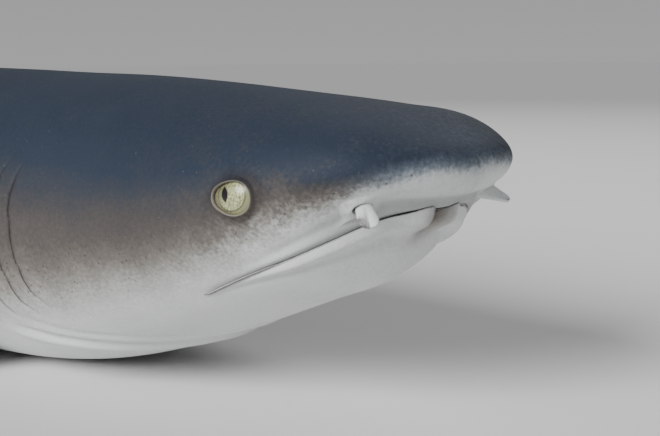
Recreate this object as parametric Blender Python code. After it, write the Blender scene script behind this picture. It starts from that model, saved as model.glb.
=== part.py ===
"""A whitetip reef shark (Triaenodon obesus) at rest on the sea bed, life size, in one fixed pose.

The body is shaped straight first: x runs back from the snout tip along negative values, y is the
shark's left and z is up from the body's axis. The finished solids are then carried onto a gently
bent spine, with the head lifted, the tail stem rising and the undersides flattened on the floor.
Lengths are fractions of the total length unless a name ends in _M, which means metres.
"""

import math

import bpy
import numpy as np

TOTAL_LENGTH_M = 1.50
GAP_M = 0.0003  # clearance between neighbouring solids
HALF_GAP = GAP_M / 2 / TOTAL_LENGTH_M

# Body sections: station, half width, top, bottom, level of the widest point.
BLUNTNESS = 0.035
BODY_SECTIONS = (
    (0.000, 0.0000, 0.0000, 0.0000, 0.0000),
    (0.010, 0.0301, 0.0099, -0.0111, 0.0000),
    (0.020, 0.0391, 0.0169, -0.0145, 0.0000),
    (0.030, 0.0436, 0.0201, -0.0234, -0.0003),
    (0.045, 0.0475, 0.0245, -0.0325, -0.0010),
    (0.060, 0.0495, 0.0288, -0.0353, -0.0012),
    (0.080, 0.0525, 0.0344, -0.0384, -0.0008),
    (0.110, 0.0573, 0.0424, -0.0435, 0.0000),
    (0.150, 0.0617, 0.0501, -0.0504, 0.0000),
    (0.200, 0.0639, 0.0539, -0.0544, 0.0000),
    (0.280, 0.0619, 0.0561, -0.0549, 0.0000),
    (0.380, 0.0557, 0.0572, -0.0543, 0.0000),
    (0.480, 0.0450, 0.0518, -0.0490, 0.0000),
    (0.580, 0.0325, 0.0398, -0.0366, 0.0000),
    (0.680, 0.0214, 0.0281, -0.0250, 0.0000),
    (0.775, 0.0132, 0.0200, -0.0172, 0.0005),
    (0.800, 0.0112, 0.0186, -0.0156, 0.0006),
)
# How square the sections are above and below their widest point.
SQUARENESS = (
    (0.00, 1.90, 2.10),
    (0.03, 2.33, 1.65),
    (0.08, 2.05, 2.15),
    (0.15, 2.15, 2.35),
    (0.30, 2.10, 2.35),
    (0.50, 2.00, 2.20),
    (0.80, 2.00, 2.00),
)

# Where one named length of the body ends and the next begins.
GILL_START = 0.132
TRUNK_START = 0.206
TRUNK_MIDDLE = 0.350
TRUNK_REAR = 0.480
STEM_START = 0.630
STEM_END = 0.778

# Pose.
HEAD_LIFT = math.radians(11.0)
HEAD_LIFT_FROM, HEAD_LIFT_TO = 0.10, 0.22
TAIL_RISE = math.radians(10.1)
TAIL_RISE_FROM, TAIL_RISE_TO = 0.50, 0.66
TAIL_TURN = math.radians(13.0)
TAIL_TURN_FROM, TAIL_TURN_TO = 0.40, 0.95
AXIS_HEIGHT = 0.0532
LEVEL_STATION = 0.30

# Mouth.
MOUTH_FRONT = 0.0162
MOUTH_CORNER = 0.0813
MOUTH_CORNER_ANGLE = math.radians(-44.7)
MOUTH_SQUARENESS = 3.9
MOUTH_OPENING_M = 0.0016
JAW_BACK_LEAN = 0.014
AHEAD_M, HEAD_ROOM_M = 0.05, 0.12  # how far the jaw's cutting prism clears the head, ahead and around

# Eyes.
EYE_STATION = 0.0506
EYE_ANGLE = 0.0
EYE_LENGTH_M, EYE_HEIGHT_M, EYE_DEPTH_M = 0.0270, 0.0222, 0.0180
EYE_BULGE_M = 0.0030

# Nasal flaps.
NOSTRIL_STATION = 0.0217
NOSTRIL_ANGLE = math.radians(-39.0)
FLAP_WIDTH_M, FLAP_LENGTH_M, FLAP_THICKNESS_M = 0.0090, 0.0126, 0.0040
FLAP_INSET_M = 0.0036  # its root lies this far towards the snout tip from the nostril
FLAP_SWEEP = {1: 0.36, -1: 0.04}  # how far it swings up, the left one more than the right
FLAP_ROOT_M = 0.0010  # depth of its root

# Gill slits.
GILL_STATIONS = (0.1408, 0.1492, 0.1594, 0.1704, 0.1806)
GILL_TOPS = (23.0, 25.0, 26.0, 24.0, 19.0)
GILL_BOTTOMS = (-28.0, -30.0, -31.0, -28.0, -20.0)
GILL_STEPS = 8
GILL_BOW = 0.0060
GILL_WIDTH_M, GILL_CUT_M, GILL_SLANT_M = 0.0016, 0.0030, 0.0025

RING_POINTS = 38
FIN_CHORD_POINTS = 10
FIN_EDGE_M = 0.0008  # thickness of a fin's trailing edge
LOBE_POINTS = 18


def spline(xs, ys):
    """Natural cubic curve through the points, as a function."""
    xs = np.asarray(xs, float)
    ys = np.asarray(ys, float)
    count = len(xs)
    step = np.diff(xs)
    matrix = np.eye(count)
    right = np.zeros(count)
    for i in range(1, count - 1):
        matrix[i, i - 1 : i + 2] = step[i - 1], 2 * (step[i - 1] + step[i]), step[i]
        right[i] = 6 * ((ys[i + 1] - ys[i]) / step[i] - (ys[i] - ys[i - 1]) / step[i - 1])
    bend = np.linalg.solve(matrix, right)

    def value(x):
        x = np.asarray(x, float)
        i = np.clip(np.searchsorted(xs, x) - 1, 0, count - 2)
        before = xs[i + 1] - x
        after = x - xs[i]
        h = step[i]
        curved = (bend[i] * before**3 + bend[i + 1] * after**3) / (6 * h)
        left = (ys[i] / h - bend[i] * h / 6) * before
        return curved + left + (ys[i + 1] / h - bend[i + 1] * h / 6) * after

    return value


def ease(x, low, high):
    """Smooth step from 0 at low to 1 at high."""
    t = np.clip((np.asarray(x, float) - low) / (high - low), 0, 1)
    return t * t * (3 - 2 * t)


def reach(station):
    """Radius on the snout-centred chart, which makes the snout tip round."""
    return np.sqrt((station + BLUNTNESS) ** 2 - BLUNTNESS**2)


def station_at(radius):
    return np.sqrt(radius * radius + BLUNTNESS**2) - BLUNTNESS


def columns(table):
    """One curve over the chart radius for each column after the first."""
    rows = np.array(table)
    return [spline(reach(rows[:, 0]), rows[:, i]) for i in range(1, rows.shape[1])]


half_width, top_line, bottom_line, widest_level = columns(BODY_SECTIONS)
square_above, square_below = columns(SQUARENESS)


def skin(a, b, grow_m=0.0):
    """Straight-body point, in metres, of the chart point (a, b), pushed out by grow_m."""
    radius = np.hypot(a, b)
    angle = np.arctan2(b, a)
    cosine = np.cos(angle)
    sine = np.sin(angle)
    grow = grow_m / TOTAL_LENGTH_M
    power = 2 / np.where(sine >= 0, square_above(radius), square_below(radius))
    level = widest_level(radius)
    height = np.where(sine >= 0, top_line(radius) - level, level - bottom_line(radius)) + grow
    y = (half_width(radius) + grow) * np.sign(cosine) * np.abs(cosine) ** power
    z = level + height * np.sign(sine) * np.abs(sine) ** power
    return np.stack([-station_at(radius), y, z], -1) * TOTAL_LENGTH_M


def on_skin(station, angle, side=1, grow_m=0.0):
    """Point of the skin at a station and an angle up from the widest level, on one side."""
    radius = reach(np.asarray(station, float))
    return skin(side * radius * np.cos(angle), radius * np.sin(angle), grow_m)


def spine():
    """Stations, positions, pitches and turns of the bent body axis."""
    stations = np.linspace(0, 1, 1001)
    lift = HEAD_LIFT * (1 - ease(stations, HEAD_LIFT_FROM, HEAD_LIFT_TO))
    pitch = lift - TAIL_RISE * ease(stations, TAIL_RISE_FROM, TAIL_RISE_TO)
    turn = TAIL_TURN * ease(stations, TAIL_TURN_FROM, TAIL_TURN_TO)
    back = np.stack([-np.cos(pitch) * np.cos(turn), np.cos(pitch) * np.sin(turn), -np.sin(pitch)], -1)
    steps = (back[1:] + back[:-1]) / 2 * (stations[1] - stations[0])
    places = np.vstack([np.zeros(3), np.cumsum(steps, 0)])
    level = np.argmin(np.abs(stations - LEVEL_STATION))
    places += np.array([-LEVEL_STATION, 0, AXIS_HEIGHT]) - places[level]
    return stations, places, pitch, turn


SPINE = spine()


def posed(points):
    """Carries straight-body points onto the bent spine and flattens what would pass the floor."""
    stations, places, pitches, turns = SPINE
    points = np.asarray(points, float) / TOTAL_LENGTH_M
    at = -points[:, 0]
    on_axis = np.clip(at, 0, 1)
    centre = np.stack([np.interp(on_axis, stations, places[:, i]) for i in range(3)], -1)
    pitch = np.interp(on_axis, stations, pitches)
    turn = np.interp(on_axis, stations, turns)
    ahead = np.stack([np.cos(pitch) * np.cos(turn), -np.cos(pitch) * np.sin(turn), np.sin(pitch)], -1)
    left = np.stack([np.sin(turn), np.cos(turn), np.zeros_like(turn)], -1)
    up = np.cross(ahead, left)
    out = centre - (at - on_axis)[:, None] * ahead + points[:, 1:2] * left + points[:, 2:3] * up
    out = out * TOTAL_LENGTH_M
    out[:, 2] = np.maximum(out[:, 2], 0)
    return out


def ring_loft(rings, tip=None):
    """Closed mesh through equal rings, running back from the first. tip closes the front to a point."""
    rings = np.asarray(rings)
    count, around = rings.shape[:2]
    points = list(rings.reshape(-1, 3))
    faces = []
    for i in range(count - 1):
        for j in range(around):
            k = (j + 1) % around
            faces.append((i * around + j, i * around + k, (i + 1) * around + k, (i + 1) * around + j))
    if tip is None:
        faces.append(tuple(reversed(range(around))))
    else:
        points.append(np.asarray(tip))
        faces += [(len(points) - 1, (j + 1) % around, j) for j in range(around)]
    faces.append(tuple((count - 1) * around + j for j in range(around)))
    return outward(np.array(points), faces)


def outward(points, faces):
    """Turns the faces over if they enclose a negative volume."""
    volume = 0.0
    for face in faces:
        first = points[face[0]]
        for a, b in zip(face[1:-1], face[2:]):
            volume += np.dot(first, np.cross(points[a], points[b]))
    return points, faces if volume > 0 else [tuple(reversed(face)) for face in faces]


def mesh_object(name, points, faces):
    mesh = bpy.data.meshes.new(name)
    mesh.from_pydata([tuple(p) for p in points], [], faces)
    mesh.update()
    obj = bpy.data.objects.new(name, mesh)
    bpy.context.scene.collection.objects.link(obj)
    return obj


def cut(solid, cutter, operation="DIFFERENCE"):
    """Result of an exact Boolean between two meshes, as points and faces."""
    obj = mesh_object("solid", *solid)
    tool = mesh_object("cutter", *cutter)
    modifier = obj.modifiers.new("cut", "BOOLEAN")
    modifier.operation = operation
    modifier.solver = "EXACT"
    modifier.object = tool
    bpy.context.view_layer.update()
    result = obj.evaluated_get(bpy.context.evaluated_depsgraph_get()).to_mesh()
    points = np.array([tuple(vertex.co) for vertex in result.vertices])
    faces = [tuple(polygon.vertices) for polygon in result.polygons]
    bpy.data.objects.remove(obj)
    bpy.data.objects.remove(tool)
    if not faces:
        raise ValueError("a Boolean left nothing")
    return points, faces


def material(name, colour, roughness):
    found = bpy.data.materials.get(name)
    if found:
        return found
    made = bpy.data.materials.new(name)
    made.use_nodes = True
    shader = made.node_tree.nodes["Principled BSDF"]
    shader.inputs["Base Color"].default_value = (*colour, 1)
    shader.inputs["Roughness"].default_value = roughness
    shader.inputs["Metallic"].default_value = 0.0
    made.diffuse_color = (*colour, 1)
    return made


def finish(name, solid, colour, roughness=0.55):
    """Poses a solid, and adds it as a named, smooth-shaded object with its own material."""
    points, faces = solid
    obj = mesh_object(name, posed(points), faces)
    obj.data.materials.append(material(name + "_skin", colour, roughness))
    obj.data.shade_smooth()


def centre_on_origin():
    """Moves every solid so that the middle of the whole model's footprint is at the origin."""
    objects = list(bpy.data.objects)
    points = np.array([tuple(vertex.co) for obj in objects for vertex in obj.data.vertices])
    middle = (points.min(0) + points.max(0)) / 2
    middle[2] = 0
    for obj in objects:
        for vertex in obj.data.vertices:
            vertex.co = np.array(vertex.co) - middle
        obj.data.update()


def body_rings(stations, grow_m=0.0):
    angles = np.linspace(0, 2 * math.pi, RING_POINTS, endpoint=False)
    radii = reach(np.asarray(stations, float))
    return [skin(r * np.cos(angles), r * np.sin(angles), grow_m) for r in radii]


def body_length(start, end, count):
    """A closed length of the body, half a gap short at each end."""
    return ring_loft(body_rings(np.linspace(start + HALF_GAP, end - HALF_GAP, count)))


def body_envelope():
    """The whole body a gap larger all round, used to trim what is attached to it."""
    return ring_loft(body_rings(np.concatenate([HEAD_STATIONS[-1:], BREAKS]), GAP_M))


def mouth_line(count=25):
    """Side view of the mouth: stations and heights in metres from the front to the corner."""
    corner = reach(MOUTH_CORNER)
    across = corner * math.cos(MOUTH_CORNER_ANGLE)
    corner_height = corner * math.sin(MOUTH_CORNER_ANGLE)
    front_height = -reach(MOUTH_FRONT)
    share = np.linspace(0, 1, count)
    rise = (front_height - corner_height) * (1 - share**MOUTH_SQUARENESS)
    return skin(across * share, corner_height + rise)


def jaw_prism(lower_front_m, lower_back_m):
    """Prism across the head under the mouth line, its top lowered by the given amounts."""
    line = mouth_line()
    share = np.linspace(0, 1, len(line))
    heights = line[:, 2] - lower_front_m * (1 - share) - lower_back_m * share
    side = [(AHEAD_M, heights[0])] + list(zip(line[:, 0], heights))
    corner_x, corner_z = side[-1]
    side[-1] = (corner_x + lower_back_m, corner_z)
    lean = JAW_BACK_LEAN * TOTAL_LENGTH_M
    side += [(corner_x - lean + lower_back_m, -HEAD_ROOM_M), (AHEAD_M, -HEAD_ROOM_M)]
    return ring_loft([[(x, y, z) for x, z in side] for y in (-HEAD_ROOM_M, HEAD_ROOM_M)])


def surface_frame(station, angle, side):
    """Point on the skin with its outward, backward and upward directions."""
    small = 1e-3
    here = on_skin(station, angle, side)
    back = on_skin(station + small, angle, side) - here
    upward = on_skin(station, angle + small, side) - here
    normal = np.cross(back, upward)
    normal /= np.linalg.norm(normal)
    if normal[1] * side < 0:
        normal = -normal
    back /= np.linalg.norm(back)
    upward = np.cross(normal, back)
    if upward[2] < 0:
        upward = -upward
    return here, normal, back, upward


def ellipsoid(centre, axes, sizes, rings=7, around=14):
    """Closed ellipsoid with the given half-axis directions and full sizes, poles on the first axis."""
    half = [np.asarray(axis) * size / 2 for axis, size in zip(axes, sizes)]
    loops = []
    for polar in np.linspace(0, math.pi, rings + 2)[1:-1]:
        turn = np.linspace(0, 2 * math.pi, around, endpoint=False)
        loop = centre + math.cos(polar) * half[0]
        loop = loop + math.sin(polar) * (np.cos(turn)[:, None] * half[1] + np.sin(turn)[:, None] * half[2])
        loops.append(loop)
    points = np.vstack(loops + [[centre + half[0]], [centre - half[0]]])
    faces = []
    for i in range(rings - 1):
        for j in range(around):
            k = (j + 1) % around
            faces.append((i * around + j, i * around + k, (i + 1) * around + k, (i + 1) * around + j))
    front, rear = rings * around, rings * around + 1
    last = (rings - 1) * around
    for j in range(around):
        k = (j + 1) % around
        faces += [(front, k, j), (rear, last + j, last + k)]
    return outward(points, faces)


def eye(side, grow_m=0.0):
    here, normal, back, upward = surface_frame(EYE_STATION, EYE_ANGLE, side)
    centre = here + normal * (EYE_BULGE_M - EYE_DEPTH_M / 2)
    sizes = [size + 2 * grow_m for size in (EYE_DEPTH_M, EYE_LENGTH_M, EYE_HEIGHT_M)]
    return ellipsoid(centre, (normal, back, upward), sizes)


def flap_frame(side):
    """Root of a nasal flap, and its directions along, across and through it."""
    here, normal, back, upward = surface_frame(NOSTRIL_STATION, NOSTRIL_ANGLE, side)
    towards_nostril = (back + upward) / math.sqrt(2)
    along = normal + FLAP_SWEEP[side] * (upward - back) / math.sqrt(2)
    along /= np.linalg.norm(along)
    across = towards_nostril - along * (along @ towards_nostril)
    across /= np.linalg.norm(across)
    root = here - towards_nostril * FLAP_INSET_M - along * FLAP_ROOT_M
    return root, along, across, np.cross(along, across)


def nasal_flap(side):
    """Rolled lobe that stands out from the front edge of a nostril and hangs over the mouth."""
    root, along, across, through = flap_frame(side)
    turn = np.linspace(0, 2 * math.pi, 12, endpoint=False)
    loops = []
    for share in np.linspace(0, 1, 7):
        full = math.sqrt(max(1 - (share * 0.95) ** 4, 0.0))
        wide = FLAP_WIDTH_M / 2 * full
        thick = FLAP_THICKNESS_M / 2 * full
        middle = root + along * (FLAP_LENGTH_M + FLAP_ROOT_M) * share
        section = np.cos(turn)[:, None] * wide * across + np.sin(turn)[:, None] * thick * through
        loops.append(middle + section)
    return ring_loft(loops)


def gill_cutters():
    """Thin slanted blades that cut the gill slits, five a side."""
    blades = []
    for side in (1, -1):
        for station, high, low in zip(GILL_STATIONS, GILL_TOPS, GILL_BOTTOMS):
            loops = []
            for share in np.linspace(0, 1, GILL_STEPS):
                angle = math.radians(high + (low - high) * share)
                bow = GILL_BOW * (4 * share * (1 - share) - 0.5 * share)
                here, normal, back, _ = surface_frame(station + bow, angle, side)
                fade = math.sqrt(max(1 - (2 * share - 1) ** 4, 0.12))
                inner = here - normal * GILL_CUT_M * fade - back * GILL_SLANT_M
                outer = here + normal * GILL_CUT_M + back * GILL_SLANT_M
                half = back * GILL_WIDTH_M / 2 * fade
                loops.append([inner - half, outer - half, outer + half, inner + half])
            blades.append(ring_loft(loops))
    return blades


def fin_section(chord, thickness, edge):
    """Closed streamlined outline, as (back, side) pairs round the fin from the leading edge."""
    share = (1 - np.cos(np.linspace(0, math.pi, FIN_CHORD_POINTS))) / 2
    shape = 2.969 * np.sqrt(share) - 1.26 * share - 3.516 * share**2 + 2.843 * share**3 - 1.036 * share**4
    half = shape * thickness / 2 + edge / 2 * share
    ahead = share * chord
    upper = list(zip(ahead, half))
    lower = list(zip(ahead[1:], -half[1:]))
    return np.array(upper + lower[::-1])


def fin(place, outline, span, root_thickness, tip_thickness, steps=9):
    """Closed fin. place(back, out, side) gives straight-body metres; outline rows are
    (share of the span, leading edge, trailing edge)."""
    rows = np.array(outline)
    shares = (1 - np.cos(np.linspace(0, math.pi / 2, steps))) * 0.35
    shares = shares + 0.65 * np.sin(np.linspace(0, math.pi / 2, steps))
    loops = []
    for share in shares:
        lead = np.interp(share, rows[:, 0], rows[:, 1])
        trail = np.interp(share, rows[:, 0], rows[:, 2])
        thickness = root_thickness + (tip_thickness - root_thickness) * share**0.6
        section = fin_section(trail - lead, thickness, FIN_EDGE_M / TOTAL_LENGTH_M)
        loop = [place(lead + back, share * span, side) for back, side in section]
        loops.append(loop)
    return ring_loft(np.array(loops) * TOTAL_LENGTH_M)


def smooth_outline(rows, count=21):
    """The outline rows joined by smooth curves."""
    table = np.array(rows)
    shares = np.linspace(0, 1, count)
    lead = spline(table[:, 0], table[:, 1])(shares)
    trail = spline(table[:, 0], table[:, 2])(shares)
    return np.stack([shares, lead, trail], -1)


def upright(origin, root_level, direction):
    """Placement of a fin on the midline, standing up (1) or hanging down (-1)."""

    def place(back, out, side):
        return (-(origin + back), side, root_level + direction * out)

    return place


def spread(origin, root_side, root_level, droop, droop_end, tilt, span, side_sign):
    """Placement of a paired fin that droops from its root and levels off towards its tip."""
    outs = np.linspace(0, 1.2 * span, 61)
    angle = droop + (droop_end - droop) * np.clip(outs / span, 0, 1)
    across = np.concatenate([[0], np.cumsum(np.cos(angle[1:]) * np.diff(outs))])
    down = np.concatenate([[0], np.cumsum(np.sin(angle[1:]) * np.diff(outs))])

    def place(back, out, side):
        here = np.interp(out, outs, angle)
        y = root_side + np.interp(out, outs, across) + side * math.sin(here)
        z = root_level - np.interp(out, outs, down) + side * math.cos(here)
        z -= tilt * (1 - min(out / span, 1)) * back
        return (-(origin + back), side_sign * y, z)

    return place


# Sizes of the midline fins: start of the base, level of the root, span, thickness at root and tip.
FIRST_DORSAL_SIZES = (0.375, 0.050, 0.092, 0.0085, 0.0016)
SECOND_DORSAL_SIZES = (0.632, 0.026, 0.060, 0.0062, 0.0014)
ANAL_SIZES = (0.650, -0.0200, 0.0600, 0.0060, 0.0014)
LOWER_CAUDAL_SIZES = (0.790, -0.0060, 0.098, 0.0080, 0.0016)
# Sizes of the paired fins: start of the base, distance from the midline and level of the root, droop at
# the root and at the tip in radians, tilt, span, thickness at root and tip.
PECTORAL_SIZES = (0.1835, 0.042, -0.0335, 0.205, 0.020, 0.10, 0.166, 0.0105, 0.0018)
PELVIC_SIZES = (0.490, 0.022, -0.0340, 0.40, 0.17, 0.14, 0.074, 0.0062, 0.0014)

# Outlines: share of the span, then how far back the leading and the trailing edge lie.
FIRST_DORSAL = (
    (0.00, 0.000, 0.100), (0.10, 0.010, 0.124), (0.30, 0.026, 0.112), (0.60, 0.050, 0.103),
    (0.85, 0.075, 0.103), (0.96, 0.090, 0.1055), (1.00, 0.100, 0.1045),
)
SECOND_DORSAL = (
    (0.00, 0.000, 0.076), (0.12, 0.008, 0.100), (0.30, 0.019, 0.090), (0.60, 0.038, 0.081),
    (0.85, 0.057, 0.080), (0.96, 0.068, 0.081), (1.00, 0.076, 0.0795),
)
ANAL = (
    (0.00, 0.000, 0.066), (0.12, 0.009, 0.090), (0.30, 0.020, 0.080), (0.60, 0.040, 0.073),
    (0.85, 0.058, 0.075), (0.96, 0.068, 0.0765), (1.00, 0.074, 0.0765),
)
PECTORAL = (
    (0.00, 0.000, 0.062), (0.08, 0.004, 0.094), (0.30, 0.015, 0.096), (0.60, 0.037, 0.0935),
    (0.85, 0.063, 0.0955), (0.96, 0.081, 0.0975), (1.00, 0.093, 0.0965),
)
PELVIC = (
    (0.00, 0.000, 0.046), (0.12, 0.005, 0.078), (0.30, 0.012, 0.074), (0.60, 0.026, 0.063),
    (0.85, 0.040, 0.056), (0.96, 0.048, 0.0545), (1.00, 0.053, 0.0535),
)
LOWER_CAUDAL = (
    (0.00, 0.000, 0.078), (0.15, 0.004, 0.066), (0.30, 0.010, 0.0590), (0.60, 0.026, 0.0565),
    (0.85, 0.043, 0.0610), (0.96, 0.053, 0.0640), (1.00, 0.060, 0.0650),
)
# Upper tail lobe: station, half thickness, top, bottom.
UPPER_CAUDAL = (
    (0.7785, 0.0128, 0.0200, -0.0170),
    (0.795, 0.0112, 0.0232, -0.0158),
    (0.815, 0.0090, 0.0300, -0.0120),
    (0.840, 0.0066, 0.0385, -0.0064),
    (0.870, 0.0050, 0.0482, 0.0030),
    (0.905, 0.0038, 0.0594, 0.0170),
    (0.935, 0.0028, 0.0690, 0.0306),
    (0.952, 0.0022, 0.0744, 0.0372),
    (0.958, 0.0020, 0.0763, 0.0352),
    (0.970, 0.0017, 0.0800, 0.0345),
    (0.982, 0.0014, 0.0834, 0.0410),
    (0.990, 0.0012, 0.0850, 0.0525),
    (0.995, 0.0010, 0.0856, 0.0650),
    (0.998, 0.0008, 0.0852, 0.0745),
)


def upper_lobe(grow_m=0.0):
    """Thin upright plate that carries the spine up and back, with the notch near its tip."""
    turn = np.linspace(0, 2 * math.pi, LOBE_POINTS, endpoint=False)
    grow = grow_m / TOTAL_LENGTH_M
    loops = []
    for station, half, high, low in UPPER_CAUDAL:
        flat = ease(station, 0.79, 0.84)
        y = (half + grow) * np.sign(np.cos(turn)) * np.abs(np.cos(turn)) ** (1 - 0.3 * flat)
        z = (high + low) / 2 + ((high - low) / 2 + grow) * np.sin(turn)
        loops.append(np.stack([np.full_like(turn, -station), y, z], -1) * TOTAL_LENGTH_M)
    return ring_loft(loops)


def trimmed(solid):
    """A fin with what lies inside the body, or within a gap of it, taken off."""
    return cut(solid, body_envelope())


def upright_fin(sizes, outline, direction):
    origin, root_level, span, thick, thin = sizes
    place = upright(origin, root_level, direction)
    return trimmed(fin(place, smooth_outline(outline), span, thick, thin))


def paired_fin(sizes, outline, side, steps):
    origin, root_side, root_level, droop, droop_end, tilt, span, thick, thin = sizes
    place = spread(origin, root_side, root_level, droop, droop_end, tilt, span, side)
    return trimmed(fin(place, smooth_outline(outline), span, thick, thin, steps=steps))


for old in list(bpy.data.objects):
    bpy.data.objects.remove(old)

SLATE = (0.075, 0.100, 0.130)
GREY = (0.120, 0.135, 0.150)
PALE = (0.600, 0.610, 0.590)
IRIS = (0.480, 0.500, 0.320)

HEAD_STATIONS = (
    0.0010, 0.0040, 0.0082, 0.0135, 0.0195, 0.0262, 0.0340, 0.0430, 0.054, 0.066,
    0.080, 0.096, 0.114,
)
BREAKS = np.concatenate([
    np.linspace(GILL_START, TRUNK_START, 6)[:-1],
    np.linspace(TRUNK_START, TRUNK_MIDDLE, 7)[:-1],
    np.linspace(TRUNK_MIDDLE, TRUNK_REAR, 7)[:-1],
    np.linspace(TRUNK_REAR, STEM_START, 7)[:-1],
    np.linspace(STEM_START, STEM_END, 8),
])

whole_head = ring_loft(body_rings(HEAD_STATIONS + (GILL_START - HALF_GAP,)), skin(0.0, 0.0))
lower_jaw = cut(whole_head, jaw_prism(MOUTH_OPENING_M, GAP_M), "INTERSECT")
head = cut(whole_head, jaw_prism(0.0, 0.0))
for side in (1, -1):
    head = cut(head, eye(side, GAP_M))
head_envelope = ring_loft(body_rings(HEAD_STATIONS, GAP_M), skin(0.0, 0.0) + np.array([GAP_M, 0, 0]))
finish("head", head, SLATE)
finish("lower_jaw", lower_jaw, PALE)
for word, side in (("left", 1), ("right", -1)):
    finish("eye_" + word, eye(side), IRIS, 0.15)
    finish("nasal_flap_" + word, cut(nasal_flap(side), head_envelope), PALE)

gill_region = body_length(GILL_START, TRUNK_START, 6)
for blade in gill_cutters():
    gill_region = cut(gill_region, blade)
finish("gill_region", gill_region, GREY)
finish("trunk_front", body_length(TRUNK_START, TRUNK_MIDDLE, 7), GREY)
finish("trunk_middle", body_length(TRUNK_MIDDLE, TRUNK_REAR, 7), GREY)
finish("trunk_rear", body_length(TRUNK_REAR, STEM_START, 7), GREY)
finish("tail_stem", body_length(STEM_START, STEM_END, 8), GREY)

finish("first_dorsal_fin", upright_fin(FIRST_DORSAL_SIZES, FIRST_DORSAL, 1), SLATE)
finish("second_dorsal_fin", upright_fin(SECOND_DORSAL_SIZES, SECOND_DORSAL, 1), SLATE)
finish("anal_fin", upright_fin(ANAL_SIZES, ANAL, -1), GREY)
for word, side in (("left", 1), ("right", -1)):
    finish("pectoral_fin_" + word, paired_fin(PECTORAL_SIZES, PECTORAL, side, 10), SLATE)
    finish("pelvic_fin_" + word, paired_fin(PELVIC_SIZES, PELVIC, side, 9), GREY)
finish("caudal_upper_lobe", upper_lobe(), SLATE)
lower_lobe = upright_fin(LOWER_CAUDAL_SIZES, LOWER_CAUDAL, -1)
finish("caudal_lower_lobe", cut(lower_lobe, upper_lobe(GAP_M)), SLATE)
centre_on_origin()
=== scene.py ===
"""The resting whitetip reef shark, dressed: one skin over its solids, two eyes, floor, light, camera.

Shapes are worked out on a straight body first: x runs back from the snout tip along negative values,
y is the shark's left and z is up. Then they are carried onto the bent spine. Lengths are fractions of
the total length unless a name ends in _M, for metres.
"""

import math

import bpy
import numpy as np
from mathutils import Matrix, Vector


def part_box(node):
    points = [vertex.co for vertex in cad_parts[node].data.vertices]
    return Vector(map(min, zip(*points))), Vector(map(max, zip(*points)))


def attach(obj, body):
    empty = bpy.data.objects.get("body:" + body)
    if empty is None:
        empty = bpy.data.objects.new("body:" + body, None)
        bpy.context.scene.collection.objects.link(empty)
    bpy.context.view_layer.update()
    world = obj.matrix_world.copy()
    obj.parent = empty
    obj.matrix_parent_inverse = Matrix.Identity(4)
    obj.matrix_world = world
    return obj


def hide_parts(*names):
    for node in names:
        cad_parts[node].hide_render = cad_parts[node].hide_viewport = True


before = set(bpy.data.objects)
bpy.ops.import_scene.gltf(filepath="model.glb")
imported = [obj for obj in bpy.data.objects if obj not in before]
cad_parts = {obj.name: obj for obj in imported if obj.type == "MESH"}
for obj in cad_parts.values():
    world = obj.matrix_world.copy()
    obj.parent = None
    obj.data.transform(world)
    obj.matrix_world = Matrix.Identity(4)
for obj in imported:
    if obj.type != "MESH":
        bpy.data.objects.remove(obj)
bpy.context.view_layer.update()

TOTAL_LENGTH_M = 1.50
MM = 0.001

# Body sections: station, half width, top, bottom, level of the widest point.
BLUNTNESS = 0.035
BODY_SECTIONS = (
    (0.000, 0.0000, 0.0000, 0.0000, 0.0000),
    (0.010, 0.0301, 0.0099, -0.0111, 0.0000),
    (0.020, 0.0391, 0.0169, -0.0145, 0.0000),
    (0.030, 0.0436, 0.0201, -0.0234, -0.0003),
    (0.045, 0.0475, 0.0245, -0.0325, -0.0010),
    (0.060, 0.0495, 0.0288, -0.0353, -0.0012),
    (0.080, 0.0525, 0.0344, -0.0384, -0.0008),
    (0.110, 0.0573, 0.0424, -0.0435, 0.0000),
    (0.150, 0.0617, 0.0501, -0.0504, 0.0000),
    (0.200, 0.0639, 0.0539, -0.0544, 0.0000),
    (0.280, 0.0619, 0.0561, -0.0549, 0.0000),
    (0.380, 0.0557, 0.0572, -0.0543, 0.0000),
    (0.480, 0.0450, 0.0518, -0.0490, 0.0000),
    (0.580, 0.0325, 0.0398, -0.0366, 0.0000),
    (0.680, 0.0214, 0.0281, -0.0250, 0.0000),
    (0.775, 0.0132, 0.0200, -0.0172, 0.0005),
    (0.800, 0.0112, 0.0186, -0.0156, 0.0006),
)
# How square the sections are above and below their widest point.
SQUARENESS = (
    (0.00, 1.90, 2.10),
    (0.03, 2.33, 1.65),
    (0.08, 2.05, 2.15),
    (0.15, 2.15, 2.35),
    (0.30, 2.10, 2.35),
    (0.50, 2.00, 2.20),
    (0.80, 2.00, 2.00),
)

# Pose.
HEAD_LIFT = math.radians(11.0)
HEAD_LIFT_FROM, HEAD_LIFT_TO = 0.10, 0.22
TAIL_RISE = math.radians(10.1)
TAIL_RISE_FROM, TAIL_RISE_TO = 0.50, 0.66
TAIL_TURN = math.radians(13.0)
TAIL_TURN_FROM, TAIL_TURN_TO = 0.40, 0.95
AXIS_HEIGHT = 0.0532
LEVEL_STATION = 0.30

# Mouth.
MOUTH_FRONT = 0.0162
MOUTH_CORNER = 0.0813
MOUTH_CORNER_ANGLE = math.radians(-44.7)
MOUTH_SQUARENESS = 3.9

# Eyes.
EYE_STATION = 0.0506
EYE_ANGLE = 0.0
EYE_LENGTH_M, EYE_HEIGHT_M, EYE_DEPTH_M = 0.0270, 0.0222, 0.0180
EYE_BULGE_M = 0.0030

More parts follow.
